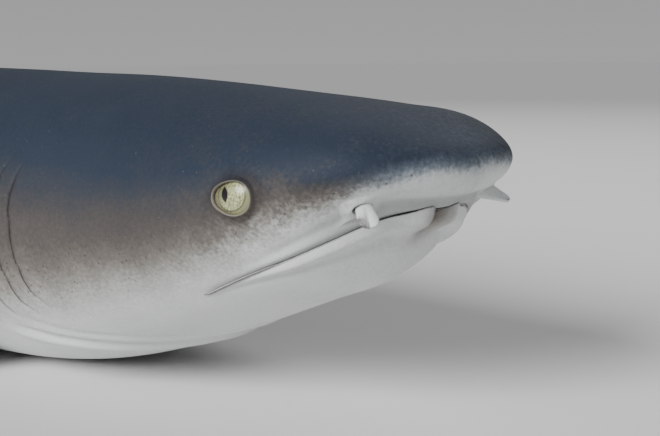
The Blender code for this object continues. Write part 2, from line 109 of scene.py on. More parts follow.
# Nostrils and their flaps. Pairs are by side: 1 is the shark's left, -1 its right.
NOSTRIL_STATION = 0.0217
NOSTRIL_ANGLE = math.radians(-39.0)
FLAP_WIDTH_M, FLAP_LENGTH_M, FLAP_THICKNESS_M = 0.0090, 0.0126, 0.0040
FLAP_INSET_M = 0.0036  # its root lies this far towards the snout tip from the nostril
FLAP_SWEEP = {1: 0.36, -1: 0.04}  # how far it swings up, the left one more than the right
FLAP_ROOT_M = 0.0010  # depth of its root
FLAP_TAPER = {1: (1.30, 0.55), -1: (0.84, 1.12)}  # width at the root and at the end
FLAP_ROLL = {1: math.radians(40.0), -1: 0.0}  # the left flap is turned about its length
FLAP_SPLIT = {1: 0.15, -1: 0.50}  # depth of the furrow between the two lobes
FLAP_TINT = {1: 0.0, -1: 0.53}  # the right flap's rear lobe is the darker one

# Gill slits: station, and the angles of both ends from the widest level, in degrees.
GILL_SLITS = (
    (0.1408, 23.0, -28.0), (0.1492, 25.0, -30.0), (0.1594, 26.0, -31.0), (0.1704, 24.0, -26.0),
    (0.1806, 19.0, -17.0),
)
GILL_BOW = 0.0060


def spline(xs, ys):
    """Natural cubic curve through the points, as a function."""
    xs = np.asarray(xs, float)
    ys = np.asarray(ys, float)
    count = len(xs)
    step = np.diff(xs)
    matrix = np.eye(count)
    right = np.zeros(count)
    for i in range(1, count - 1):
        matrix[i, i - 1 : i + 2] = step[i - 1], 2 * (step[i - 1] + step[i]), step[i]
        right[i] = 6 * ((ys[i + 1] - ys[i]) / step[i] - (ys[i] - ys[i - 1]) / step[i - 1])
    bend = np.linalg.solve(matrix, right)

    def value(x):
        x = np.asarray(x, float)
        i = np.clip(np.searchsorted(xs, x) - 1, 0, count - 2)
        before = xs[i + 1] - x
        after = x - xs[i]
        h = step[i]
        curved = (bend[i] * before**3 + bend[i + 1] * after**3) / (6 * h)
        left = (ys[i] / h - bend[i] * h / 6) * before
        return curved + left + (ys[i + 1] / h - bend[i + 1] * h / 6) * after

    return value


def ease(x, low, high):
    """Smooth step from 0 at low to 1 at high."""
    t = np.clip((np.asarray(x, float) - low) / (high - low), 0, 1)
    return t * t * (3 - 2 * t)


def reach(station):
    """Radius on the snout-centred chart, which makes the snout tip round."""
    return np.sqrt((station + BLUNTNESS) ** 2 - BLUNTNESS**2)


def station_at(radius):
    return np.sqrt(radius * radius + BLUNTNESS**2) - BLUNTNESS


def columns(table):
    """One curve over the chart radius for each column after the first."""
    rows = np.array(table)
    return [spline(reach(rows[:, 0]), rows[:, i]) for i in range(1, rows.shape[1])]


half_width, top_line, bottom_line, widest_level = columns(BODY_SECTIONS)
square_above, square_below = columns(SQUARENESS)


def half_section_at(radius, above):
    """Widest level, squareness and height of the section's half above or below that level."""
    level = widest_level(radius)
    power = np.where(above, square_above(radius), square_below(radius))
    return level, power, np.where(above, top_line(radius) - level, level - bottom_line(radius))


def skin(a, b):
    """Straight-body point, in metres, of the chart point (a, b)."""
    radius = np.hypot(a, b)
    angle = np.arctan2(b, a)
    cosine, sine = np.cos(angle), np.sin(angle)
    level, power, height = half_section_at(radius, sine >= 0)
    y = half_width(radius) * np.sign(cosine) * np.abs(cosine) ** (2 / power)
    z = level + height * np.sign(sine) * np.abs(sine) ** (2 / power)
    return np.stack([-station_at(radius), y, z], -1) * TOTAL_LENGTH_M


def on_skin(station, angle, side=1):
    """Point of the skin at a station and an angle up from the widest level, on one side."""
    radius = reach(np.asarray(station, float))
    return skin(side * radius * np.cos(angle), radius * np.sin(angle))


def spine():
    """Stations, positions, pitches and turns of the bent body axis."""
    stations = np.linspace(0, 1, 1001)
    lift = HEAD_LIFT * (1 - ease(stations, HEAD_LIFT_FROM, HEAD_LIFT_TO))
    pitch = lift - TAIL_RISE * ease(stations, TAIL_RISE_FROM, TAIL_RISE_TO)
    turn = TAIL_TURN * ease(stations, TAIL_TURN_FROM, TAIL_TURN_TO)
    back = np.stack([-np.cos(pitch) * np.cos(turn), np.cos(pitch) * np.sin(turn), -np.sin(pitch)], -1)
    steps = (back[1:] + back[:-1]) / 2 * (stations[1] - stations[0])
    places = np.vstack([np.zeros(3), np.cumsum(steps, 0)])
    level = np.argmin(np.abs(stations - LEVEL_STATION))
    places += np.array([-LEVEL_STATION, 0, AXIS_HEIGHT]) - places[level]
    return stations, places, pitch, turn


SPINE = spine()


def posed(points):
    """Carries straight-body points onto the bent spine and flattens what would pass the floor."""
    stations, places, pitches, turns = SPINE
    points = np.asarray(points, float) / TOTAL_LENGTH_M
    at = -points[:, 0]
    on_axis = np.clip(at, 0, 1)
    centre = np.stack([np.interp(on_axis, stations, places[:, i]) for i in range(3)], -1)
    pitch = np.interp(on_axis, stations, pitches)
    turn = np.interp(on_axis, stations, turns)
    ahead = np.stack([np.cos(pitch) * np.cos(turn), -np.cos(pitch) * np.sin(turn), np.sin(pitch)], -1)
    left = np.stack([np.sin(turn), np.cos(turn), np.zeros_like(turn)], -1)
    up = np.cross(ahead, left)
    out = centre - (at - on_axis)[:, None] * ahead + points[:, 1:2] * left + points[:, 2:3] * up
    out = out * TOTAL_LENGTH_M
    out[:, 2] = np.maximum(out[:, 2], 0)
    return out


def surface_frame(station, angle, side):
    """Point on the skin with its outward, backward and upward directions."""
    small = 1e-3
    here = on_skin(station, angle, side)
    back = on_skin(station + small, angle, side) - here
    upward = on_skin(station, angle + small, side) - here
    normal = np.cross(back, upward)
    normal /= np.linalg.norm(normal)
    if normal[1] * side < 0:
        normal = -normal
    back /= np.linalg.norm(back)
    upward = np.cross(normal, back)
    if upward[2] < 0:
        upward = -upward
    return here, normal, back, upward


def flap_frame(side):
    """Root of a nasal flap, and its directions along, across and through it."""
    here, normal, back, upward = surface_frame(NOSTRIL_STATION, NOSTRIL_ANGLE, side)
    towards_nostril = (back + upward) / math.sqrt(2)
    along = normal + FLAP_SWEEP[side] * (upward - back) / math.sqrt(2)
    along /= np.linalg.norm(along)
    across = towards_nostril - along * (along @ towards_nostril)
    across /= np.linalg.norm(across)
    root = here - towards_nostril * FLAP_INSET_M - along * FLAP_ROOT_M
    return root, along, across, np.cross(along, across)


def smooth_outline(rows, count=21):
    """The outline rows joined by smooth curves."""
    table = np.array(rows)
    shares = np.linspace(0, 1, count)
    lead = spline(table[:, 0], table[:, 1])(shares)
    trail = spline(table[:, 0], table[:, 2])(shares)
    return np.stack([shares, lead, trail], -1)


def upright(origin, root_level, direction):
    """Placement of a fin on the midline, standing up (1) or hanging down (-1)."""

    def place(back, out, side):
        return (-(origin + back), side, root_level + direction * out)

    return place


def spread(origin, root_side, root_level, droop, droop_end, tilt, span, side_sign):
    """Placement of a paired fin that droops from its root and levels off towards its tip."""
    outs = np.linspace(0, 1.2 * span, 61)
    angle = droop + (droop_end - droop) * np.clip(outs / span, 0, 1)
    across = np.concatenate([[0], np.cumsum(np.cos(angle[1:]) * np.diff(outs))])
    down = np.concatenate([[0], np.cumsum(np.sin(angle[1:]) * np.diff(outs))])

    def place(back, out, side):
        here = np.interp(out, outs, angle)
        y = root_side + np.interp(out, outs, across) + side * math.sin(here)
        z = root_level - np.interp(out, outs, down) + side * math.cos(here)
        z -= tilt * (1 - min(out / span, 1)) * back
        return (-(origin + back), side_sign * y, z)

    return place


# Sizes of the midline fins: start of the base, level of the root, span, thickness at root and tip.
FIRST_DORSAL_SIZES = (0.375, 0.050, 0.092, 0.0085, 0.0016)
SECOND_DORSAL_SIZES = (0.632, 0.026, 0.060, 0.0062, 0.0014)
ANAL_SIZES = (0.650, -0.0200, 0.0600, 0.0060, 0.0014)
LOWER_CAUDAL_SIZES = (0.790, -0.0060, 0.098, 0.0080, 0.0016)
# Sizes of the paired fins: start of the base, distance from the midline and level of the root, droop at
# the root and at the tip in radians, tilt, span, thickness at root and tip.
PECTORAL_SIZES = (0.1835, 0.042, -0.0335, 0.205, 0.020, 0.10, 0.166, 0.0105, 0.0018)
PELVIC_SIZES = (0.490, 0.022, -0.0340, 0.40, 0.17, 0.14, 0.074, 0.0062, 0.0014)

# Outlines: share of the span, then how far back the leading and the trailing edge lie.
FIRST_DORSAL = (
    (0.00, 0.000, 0.100), (0.10, 0.010, 0.124), (0.30, 0.026, 0.112), (0.60, 0.050, 0.103),
    (0.85, 0.075, 0.103), (0.96, 0.090, 0.1055), (1.00, 0.100, 0.1045),
)
SECOND_DORSAL = (
    (0.00, 0.000, 0.076), (0.12, 0.008, 0.100), (0.30, 0.019, 0.090), (0.60, 0.038, 0.081),
    (0.85, 0.057, 0.080), (0.96, 0.068, 0.081), (1.00, 0.076, 0.0795),
)
ANAL = (
    (0.00, 0.000, 0.066), (0.12, 0.009, 0.090), (0.30, 0.020, 0.080), (0.60, 0.040, 0.073),
    (0.85, 0.058, 0.075), (0.96, 0.068, 0.0765), (1.00, 0.074, 0.0765),
)
PECTORAL = (
    (0.00, 0.000, 0.062), (0.08, 0.004, 0.094), (0.30, 0.015, 0.096), (0.60, 0.037, 0.0935),
    (0.85, 0.063, 0.0955), (0.96, 0.081, 0.0975), (1.00, 0.093, 0.0965),
)
PELVIC = (
    (0.00, 0.000, 0.046), (0.12, 0.005, 0.078), (0.30, 0.012, 0.074), (0.60, 0.026, 0.063),
    (0.85, 0.040, 0.056), (0.96, 0.048, 0.0545), (1.00, 0.053, 0.0535),
)
LOWER_CAUDAL = (
    (0.00, 0.000, 0.078), (0.15, 0.004, 0.066), (0.30, 0.010, 0.0590), (0.60, 0.026, 0.0565),
    (0.85, 0.043, 0.0610), (0.96, 0.053, 0.0640), (1.00, 0.060, 0.0650),
)
# Upper tail lobe: station, half thickness, top, bottom.
UPPER_CAUDAL = (
    (0.7785, 0.0128, 0.0200, -0.0170),
    (0.795, 0.0112, 0.0232, -0.0158),
    (0.815, 0.0090, 0.0300, -0.0120),
    (0.840, 0.0066, 0.0385, -0.0064),
    (0.870, 0.0050, 0.0482, 0.0030),
    (0.905, 0.0038, 0.0594, 0.0170),
    (0.935, 0.0028, 0.0690, 0.0306),
    (0.952, 0.0022, 0.0744, 0.0372),
    (0.958, 0.0020, 0.0763, 0.0352),
    (0.970, 0.0017, 0.0800, 0.0345),
    (0.982, 0.0014, 0.0834, 0.0410),
    (0.990, 0.0012, 0.0850, 0.0525),
    (0.995, 0.0010, 0.0856, 0.0650),
    (0.998, 0.0008, 0.0852, 0.0745),
)


# --- The skin's grid ---

FINE_COLUMNS, COARSE_COLUMNS = 192, 96
COLUMN_DROOP = 0.30  # lowers the columns that start at the mouth's corners
FACE_LOOPS = 104
FACE_RING = 0.118  # where the loops round the mouth have become plain rings
SLIT_SPREAD = 0.95
FINE_END = 0.278
RING_STEP_M = 0.0023
COARSE_STEP = 0.005
# Distances of the closely packed rings from each gill slit.
SLIT_ROWS_M = np.array([-3.6, -2.2, -1.2, -0.55, -0.15, 0.2, 0.55, 1.1, 2.0, 3.2]) * MM
STEM_TO_LOBE = (0.765, 0.800)
LOBE_START, LOBE_NOTCH, LOBE_TIP = 0.7785, 0.952, 0.998


class Mesh:
    """Points of the skin on the straight body, with their marks, and the faces between them."""

    MARKS = ("station", "height", "fin", "tip", "hollow", "push", "slide", "rim", "gum", "lash", "dusk")

    def __init__(self):
        self.points = []
        self.marks = {name: [] for name in self.MARKS}
        self.count = 0
        self.faces = []

    def add(self, points, **marks):
        """Adds points with their marks, and returns their numbers."""
        points = np.asarray(points, float)
        self.points.append(points)
        for name in self.MARKS:
            value = np.asarray(marks.get(name, 0.0), float)
            self.marks[name].append(np.broadcast_to(value, len(points)))
        self.count += len(points)
        return np.arange(self.count - len(points), self.count)

    def all_points(self):
        return np.vstack(self.points)

    def mark(self, name):
        return np.concatenate(self.marks[name])

    def ladder(self, lower, upper):
        """Faces between two closed loops of the same count, for a loop that grows out of the skin."""
        count = len(lower)
        for k in range(count):
            n = (k + 1) % count
            self.faces.append((lower[n], lower[k], upper[k], upper[n]))

    def cap(self, loop, **marks):
        """Closes a loop by a fan round its middle."""
        centre = self.add([self.all_points()[loop].mean(0)], **marks)[0]
        count = len(loop)
        for k in range(count):
            self.faces.append((loop[(k + 1) % count], loop[k], centre))

    def zip_shut(self, loop):
        """Closes a flattened loop whose point k lies opposite point -k."""
        count = len(loop)
        half = count // 2
        for k in range(half):
            a, b = loop[k], loop[k + 1]
            c, d = loop[(count - k - 1) % count], loop[(count - k) % count]
            if k == 0:
                self.faces.append((b, a, c))
            elif k == half - 1:
                self.faces.append((b, a, d))
            else:
                self.faces.append((b, a, d, c))


class Grid:
    """A sheet of rings and columns, closed round its columns, that patches can be taken out of."""

    def __init__(self, rings, stations, angle):
        self.rings = rings
        self.stations = stations
        self.angle = angle
        self.around = len(angle)
        self.taken = np.zeros((len(rings) - 1, self.around), bool)

    def row(self, station):
        return int(np.argmin(np.abs(self.stations - station)))

    def column(self, angle):
        off = (self.angle - angle + math.pi) % (2 * math.pi) - math.pi
        return int(np.argmin(np.abs(off)))

    def faces(self):
        out = []
        for i, (a, b) in enumerate(zip(self.rings[:-1], self.rings[1:])):
            for j in range(self.around):
                if not self.taken[i, j]:
                    k = (j + 1) % self.around
                    out.append((a[j], a[k], b[k], b[j]))
        return out

    def patch(self, row0, row1, column0, column1):
        """Takes out a patch, an even number of columns wide, and returns its border as a loop of
        (number, row, column), which starts in the middle of row0 and runs by column0 first."""
        for column in range(column0, column1):
            self.taken[row0:row1, column % self.around] = True
        middle = (column0 + column1) // 2
        loop = [(row0, c) for c in range(middle, column0, -1)]
        loop += [(r, column0) for r in range(row0, row1)]
        loop += [(row1, c) for c in range(column0, column1)]
        loop += [(r, column1) for r in range(row1, row0, -1)]
        loop += [(row0, c) for c in range(column1, middle, -1)]
        return [(self.rings[r][c % self.around], r, c) for r, c in loop]


def column_angles(count):
    """Turn of each column round the mouth, and its angle on the body."""
    turn = np.arange(count) * 2 * math.pi / count
    return turn, turn - COLUMN_DROOP * np.cos(turn)


def mouth_chart():
    """Chart half width of the mouth, and the chart heights of its corners and its front."""
    radius = reach(MOUTH_CORNER)
    across, corner = radius * math.cos(MOUTH_CORNER_ANGLE), radius * math.sin(MOUTH_CORNER_ANGLE)
    return across, corner, -reach(MOUTH_FRONT)


def arch(a):
    """Chart height of the mouth line, carried on smoothly past its corners."""
    across, corner, front = mouth_chart()
    share = np.abs(a) / across
    inside = corner + (front - corner) * (1 - np.minimum(share, 1) ** MOUTH_SQUARENESS)
    past = np.maximum(share - 1, 0)
    slope = (front - corner) * MOUTH_SQUARENESS
    return inside - slope * (1 - np.exp(-past * 4.0)) / 4.0


def mouth_height():
    """Height of the mouth's slot over x, as one curve."""
    across, _, _ = mouth_chart()
    a = across * np.linspace(0, 1, 60)
    line = skin(a, arch(a))
    order = np.argsort(line[:, 0])
    return lambda x: np.interp(x, line[order, 0], line[order, 2])


def face_loops():
    """Chart points of the loops from the lips out to the first plain ring."""
    across, corner, _ = mouth_chart()
    turn, angle = column_angles(FINE_COLUMNS)
    steps = np.linspace(0, 1, FACE_LOOPS + 1)
    loops = []
    for t in 0.28 * steps + 0.72 * steps**1.7:
        spread = SLIT_SPREAD * t**0.93
        a = across * np.cosh(spread) * np.cos(turn)
        arched = (arch(a) - corner) * (1 - 0.55 * ease(t, 0, 1))
        b = across * np.sinh(spread) * np.sin(turn) + corner + arched
        blend = ease(t, 0.06, 1.0)
        radius = reach(FACE_RING) * (0.45 + 0.55 * t)
        a = (1 - blend) * a + blend * radius * np.cos(angle)
        b = (1 - blend) * b + blend * radius * np.sin(angle)
        loops.append((a, b))
    return turn, np.array(loops)


def ring_stations():
    """Stations of the fine rings behind the face, packed closely at the gill slits."""
    packed = [station + SLIT_ROWS_M / TOTAL_LENGTH_M for station, _, _ in GILL_SLITS]
    stations = []
    last = FACE_RING
    for stop in [*np.sort(np.concatenate(packed)), FINE_END]:
        gap = stop - last
        count = max(int(round(gap * TOTAL_LENGTH_M / RING_STEP_M)), 1)
        stations += list(last + gap * np.arange(1, count + 1) / count)
        last = stop
    return np.array(stations)


def lobe_curves():
    """Half thickness, top and bottom of the upper tail lobe over the station."""
    rows = np.array(UPPER_CAUDAL)
    notch = int(np.argmin(np.abs(rows[:, 0] - LOBE_NOTCH))) + 1
    half = spline(rows[:, 0], rows[:, 1])
    high = spline(rows[:, 0], rows[:, 2])
    low_front = spline(rows[:notch, 0], rows[:notch, 3])
    low_rear = spline(rows[notch - 1 :, 0], rows[notch - 1 :, 3])
    return half, high, lambda s: np.where(np.asarray(s) < LOBE_NOTCH, low_front(s), low_rear(s))


LOBE_HALF, LOBE_HIGH, LOBE_LOW = lobe_curves()


def lobe_ring(station, angle):
    flat = ease(station, 0.79, 0.84)
    half, high, low = LOBE_HALF(station), LOBE_HIGH(station), LOBE_LOW(station)
    y = half * np.sign(np.cos(angle)) * np.abs(np.cos(angle)) ** (1 - 0.3 * flat)
    z = (high + low) / 2 + (high - low) / 2 * np.sin(angle)
    return np.stack([np.full_like(angle, -station), y, z], -1) * TOTAL_LENGTH_M


def tail_ring(station, angle):
    """A ring of the trunk or of the stem, as it turns into the upper lobe."""
    part = ease(station, *STEM_TO_LOBE)
    stem = on_skin(np.full_like(angle, min(station, STEM_TO_LOBE[1])), angle)
    stem[:, 0] = -station * TOTAL_LENGTH_M
    return (1 - part) * stem + part * lobe_ring(max(station, LOBE_START), angle)


# --- Fins ---

FIN_EDGE_M = 0.0008
FILLET_M = 0.009
FILLET_STEPS = (0.22, 0.42, 0.62, 0.82)
NOSE_SHARE = 0.004  # share of the chord that the rounded leading edge takes
CHORD_EVENNESS = 0.45

# Each midline fin: sizes, outline, up or down, ends of its patch from the start of the base, half
# the patch's columns, steps along the span, height mark, white towards the tip.
MIDLINE_FINS = (
    (FIRST_DORSAL_SIZES, FIRST_DORSAL, 1, (-0.0025, 0.103), 4, 26, 0.85, 1.0),
    (SECOND_DORSAL_SIZES, SECOND_DORSAL, 1, (-0.002, 0.080), 5, 18, 0.85, 0.55),
    (ANAL_SIZES, ANAL, -1, (-0.002, 0.070), 7, 18, -0.25, 0.0),
    (LOWER_CAUDAL_SIZES, LOWER_CAUDAL, -1, (0.003, 0.076), 8, 24, 0.05, 0.0),
)
# Height marks of a paired fin's upper and lower face, and white towards its tip.
PAIRED_FACES, PAIRED_TIP = (0.75, -0.95), 0.35


def rounding(share, power):
    """How much of a section's one half axis is left at a share of the other."""
    return (1 - np.clip(share, 0, 0.999) ** power) ** (1 / power)


def body_height(station, y, direction):
    """Height of the skin over a point y from the midline, on the back (1) or belly (-1)."""
    radius = reach(station)
    level, power, tall = half_section_at(radius, direction > 0)
    body = level + direction * tall * rounding(np.abs(y) / half_width(radius), power)
    lobe = LOBE_HIGH(station) if direction > 0 else LOBE_LOW(station)
    part = ease(station, *STEM_TO_LOBE)
    return (1 - part) * body + part * lobe


def body_side(station, z):
    """Distance of the skin from the midline at a height z."""
    radius = reach(station)
    level, power, tall = half_section_at(radius, z >= widest_level(radius))
    return half_width(radius) * rounding(np.abs(z - level) / tall, power)


def chord_shares(rows, columns):
    """Shares of the chord, and sides, for a border loop of so many rows and columns."""
    side = columns // 2
    nose = np.linspace(0, 1, side + 1)
    along = np.linspace(0, 1, rows + 1)[1:]
    spread = (1 - CHORD_EVENNESS) * (1 - np.cos(math.pi * along)) / 2 + CHORD_EVENNESS * along
    shares = np.concatenate([NOSE_SHARE * nose**2, NOSE_SHARE + (1 - NOSE_SHARE) * spread, np.ones(side)])
    signs = np.concatenate([nose, np.ones(rows), 1 - nose[1:]])
    return np.concatenate([shares, shares[-2:0:-1]]), np.concatenate([signs, -signs[-2:0:-1]])


def half_section(share, thickness, edge):
    """Half thickness of a streamlined section over the share of its chord."""
    shape = 2.969 * np.sqrt(share) - 1.26 * share - 3.516 * share**2 + 2.843 * share**3 - 1.036 * share**4
    return shape * thickness / 2 + edge / 2 * share


def grow_fin(mesh, grid, patch, sizes, outline, place, leave, flip, faces, steps, tip):
    """Grows a fin out of a patch of the grid. place(back, out, side) is as in the solids, and
    leave(back, side) is where it leaves the body, as a distance along its span."""
    row0, row1, column0, column1 = patch
    origin, span, thick, thin = sizes
    numbers = np.array([number for number, _, _ in grid.patch(*patch)])
    edge_points = mesh.all_points()[numbers]
    shares, signs = chord_shares(row1 - row0, column1 - column0)
    signs = signs * flip
    table = smooth_outline(outline)

    def section(outs):
        part = np.clip(outs / span, 0, 1)
        lead, trail = (np.interp(part, table[:, 0], table[:, i]) for i in (1, 2))
        back = lead + (trail - lead) * shares
        thickness = thick + (thin - thick) * part**0.6
        side = half_section(shares, thickness, FIN_EDGE_M / TOTAL_LENGTH_M) * signs
        points = np.array([place(b, o, w) for b, o, w in zip(back, outs, side)])
        return points * TOTAL_LENGTH_M, back, side

    _, back, side = section(np.zeros(len(shares)))
    base = leave(back, side)
    clear = base + FILLET_M / TOTAL_LENGTH_M
    root, risen = section(base)[0], section(clear)[0]
    marks = {"station": origin + back, "height": faces[0] + (faces[1] - faces[0]) * (1 - signs) / 2}
    last = numbers
    for share in FILLET_STEPS:
        points = (1 - share) ** 2 * edge_points + 2 * share * (1 - share) * root + share**2 * risen
        loop = mesh.add(points, fin=share, **marks)
        mesh.ladder(last, loop)
        last = loop
    rounded_end = 0.9 + 0.1 * np.sin(np.linspace(0, 1, 6) * math.pi / 2)
    for part in [*np.linspace(0, 0.9, steps)[:-1], *rounded_end]:
        outs = clear + (span - clear) * part
        loop = mesh.add(section(outs)[0], fin=1.0, tip=tip * np.clip(outs / span, 0, 1), **marks)
        mesh.ladder(last, loop)
        last = loop
    mesh.zip_shut(last)


def midline_fins(mesh, grid):
    for sizes, outline, direction, ends, half, steps, height, tip in MIDLINE_FINS:
        origin, level, *rest = sizes

        def leave(back, side, origin=origin, level=level, direction=direction):
            return direction * (body_height(origin + back, side, direction) - level)

        middle = grid.around // 4 if direction > 0 else 3 * grid.around // 4
        patch = (grid.row(origin + ends[0]), grid.row(origin + ends[1]), middle - half, middle + half)
        grow_fin(mesh, grid, patch, (origin, *rest), outline, upright(origin, level, direction), leave,
                 -direction, (height, height), steps, tip)


def side_columns(grid, low_deg, high_deg, side):
    """First and last column of an even number of columns between two angles on one side."""
    wanted = [math.radians(angle) for angle in (low_deg, high_deg)]
    picks = sorted(grid.column(angle if side > 0 else math.pi - angle) for angle in wanted)
    if picks[1] - picks[0] > grid.around // 2:
        picks = [picks[1] - grid.around, picks[0]]
    return picks[0], picks[1] + (picks[1] - picks[0]) % 2


def paired_fins(mesh, grid, sizes, outline, ends, low_deg, high_deg, steps):
    origin, root_side, root_level, droop, droop_end, tilt, span, thick, thin = sizes

    def leave(back, offset):
        z = root_level + offset - tilt * back
        return (body_side(origin + back, z) - root_side) / math.cos(droop)

    rows = (grid.row(origin + ends[0]), grid.row(origin + ends[1]))
    for side in (1, -1):
        place = spread(origin, root_side, root_level, droop, droop_end, tilt, span, side)
        patch = (*rows, *side_columns(grid, low_deg, high_deg, side))
        grow_fin(mesh, grid, patch, (origin, span, thick, thin), outline, place, leave, -side,
                 PAIRED_FACES, steps, PAIRED_TIP)


# --- Eye and nostril openings ---

# Profiles of the openings from the skin inwards: size as a share of the opening, rise in metres.
EYELID = (
    (1.58, 0.0), (1.46, -0.0001), (1.36, -0.0004), (1.27, -0.0007), (1.20, -0.0005), (1.145, 0.0003),
    (1.10, 0.0010), (1.065, 0.0013), (1.035, 0.0013), (1.012, 0.0010), (0.998, 0.0005), (0.990, -0.0002),
    (0.985, -0.0010), (0.98, -0.0025), (0.90, -0.0045), (0.60, -0.0060),
)
NOSTRIL = (
    (2.0, 0.0), (1.75, 0.0002), (1.52, 0.0007), (1.34, 0.0011), (1.18, 0.0012), (1.06, 0.0007),
    (0.98, -0.0004), (0.92, -0.0016), (0.80, -0.0030), (0.45, -0.0040),
)
LID_THICKNESS_M = 0.0010
EYE_OPENING_M = (0.0096, 0.0070)
NOSTRIL_OPENING_M = (0.0036, 0.0030)
NOSTRIL_INSET_M = 0.0022
# How the eye's opening departs from an oval: number of soft corners, share, angle of the first one.
EYE_EGG = ((1, 0.095, math.radians(177)), (2, 0.060, math.radians(37)), (3, 0.055, math.radians(12)))
RIM_SCALE, RIM_WIDTH = 1.03, 0.045  # where the lid's pale rim lies, and how wide it is
LID_SHADOW_SCALE, LID_SHADOW_WIDTH = 1.14, 0.05  # the painted shadow line round the lid: where it lies, and how wide it is
HOLLOW_SHADE_DEPTH_M = 0.002  # depth at which the painted shade inside an opening is full
PATCH_REACH_M = 0.06  # an opening takes no part of the face beyond this distance
# Loops of the mouth's pocket, from the inside out, as shares of the way to its middle line.
MOUTH_DEPTHS = (0.36, 0.27, 0.18, 0.11, 0.06, 0.03, 0.012)
FIRST_FACE_ROW = len(MOUTH_DEPTHS)  # the rings of the mouth's pocket come first


def bump(x, centre, width):
    return np.exp(-(((x - centre) / width) ** 2))


class Place:
    """A spot on the head with its own flat directions, in metres back and up along the skin."""

    PROBE = 0.003

    def __init__(self, station, angle, side):
        radius = reach(station)
        self.chart = np.array([side * radius * math.cos(angle), radius * math.sin(angle)])
        self.here, self.normal, self.back, self.up = surface_frame(station, angle, side)
        moves = self.PROBE * np.eye(2)
        steps = [skin(*(self.chart + move)) - skin(*(self.chart - move)) for move in moves]
        to_flat = np.array([[step @ way for step in steps] for way in (self.back, self.up)])
        self.to_chart = np.linalg.inv(to_flat / (2 * self.PROBE))

    def flat(self, points):
        away = points - self.here
        return np.stack([away @ self.back, away @ self.up], -1)

    def rise(self, points):
        return (points - self.here) @ self.normal

    def on_skin(self, flat):
        """Chart points whose skin lies over the flat points."""
        chart = self.chart + flat @ self.to_chart.T
        for _ in range(6):
            missing = flat - self.flat(skin(chart[..., 0], chart[..., 1]))
            chart = chart + missing @ self.to_chart.T
        return chart

    def move(self, flat):
        self.chart = self.on_skin(flat)
        self.here = skin(*self.chart)


def patch_round(far, wanted):
    """Rows and columns of the smallest patch whose border is clear of an opening."""
    around = far.shape[1]
    row, column = np.unravel_index(np.argmin(far), far.shape)
    low, high, left, right = row, row, column, column

    def touched(rows, columns):
        return int(min(far[r, c % around] for r in rows for c in columns) <= wanted)

    while True:
        before = (low, high, left, right)
        low -= touched([low], range(left, right + 1))
        high += touched([high], range(left, right + 1))
        left -= touched(range(low, high + 1), [left])
        right += touched(range(low, high + 1), [right])
        if before == (low, high, left, right):
            return low, high, left, right + (right - left) % 2


def eye_surface(flat):
    """Height of the eyeball over the flat of its opening."""
    inside = 1 - (2 * flat[..., 0] / EYE_LENGTH_M) ** 2 - (2 * flat[..., 1] / EYE_HEIGHT_M) ** 2
    return EYE_BULGE_M - EYE_DEPTH_M / 2 * (1 - np.sqrt(np.maximum(inside, 0.0)))


def lid_on_eye(place, spot, flat, scale):
    """Lets the lids rest on the eyeball, and the skin round them rise or sink to meet them."""
    rest = flat / scale if scale > 1 else flat
    level = spot if scale < 1 else skin(*place.on_skin(rest).T)
    share = 1 - ease(scale, 1.0, 1.42)
    spot = spot + (share * (eye_surface(rest) - place.rise(level)))[:, None] * place.normal
    if scale <= 1:
        return spot
    over = eye_surface(place.flat(spot)) + LID_THICKNESS_M * ease(scale, 1.0, 1.1)
    return spot + np.maximum(over - place.rise(spot), 0.0)[:, None] * place.normal


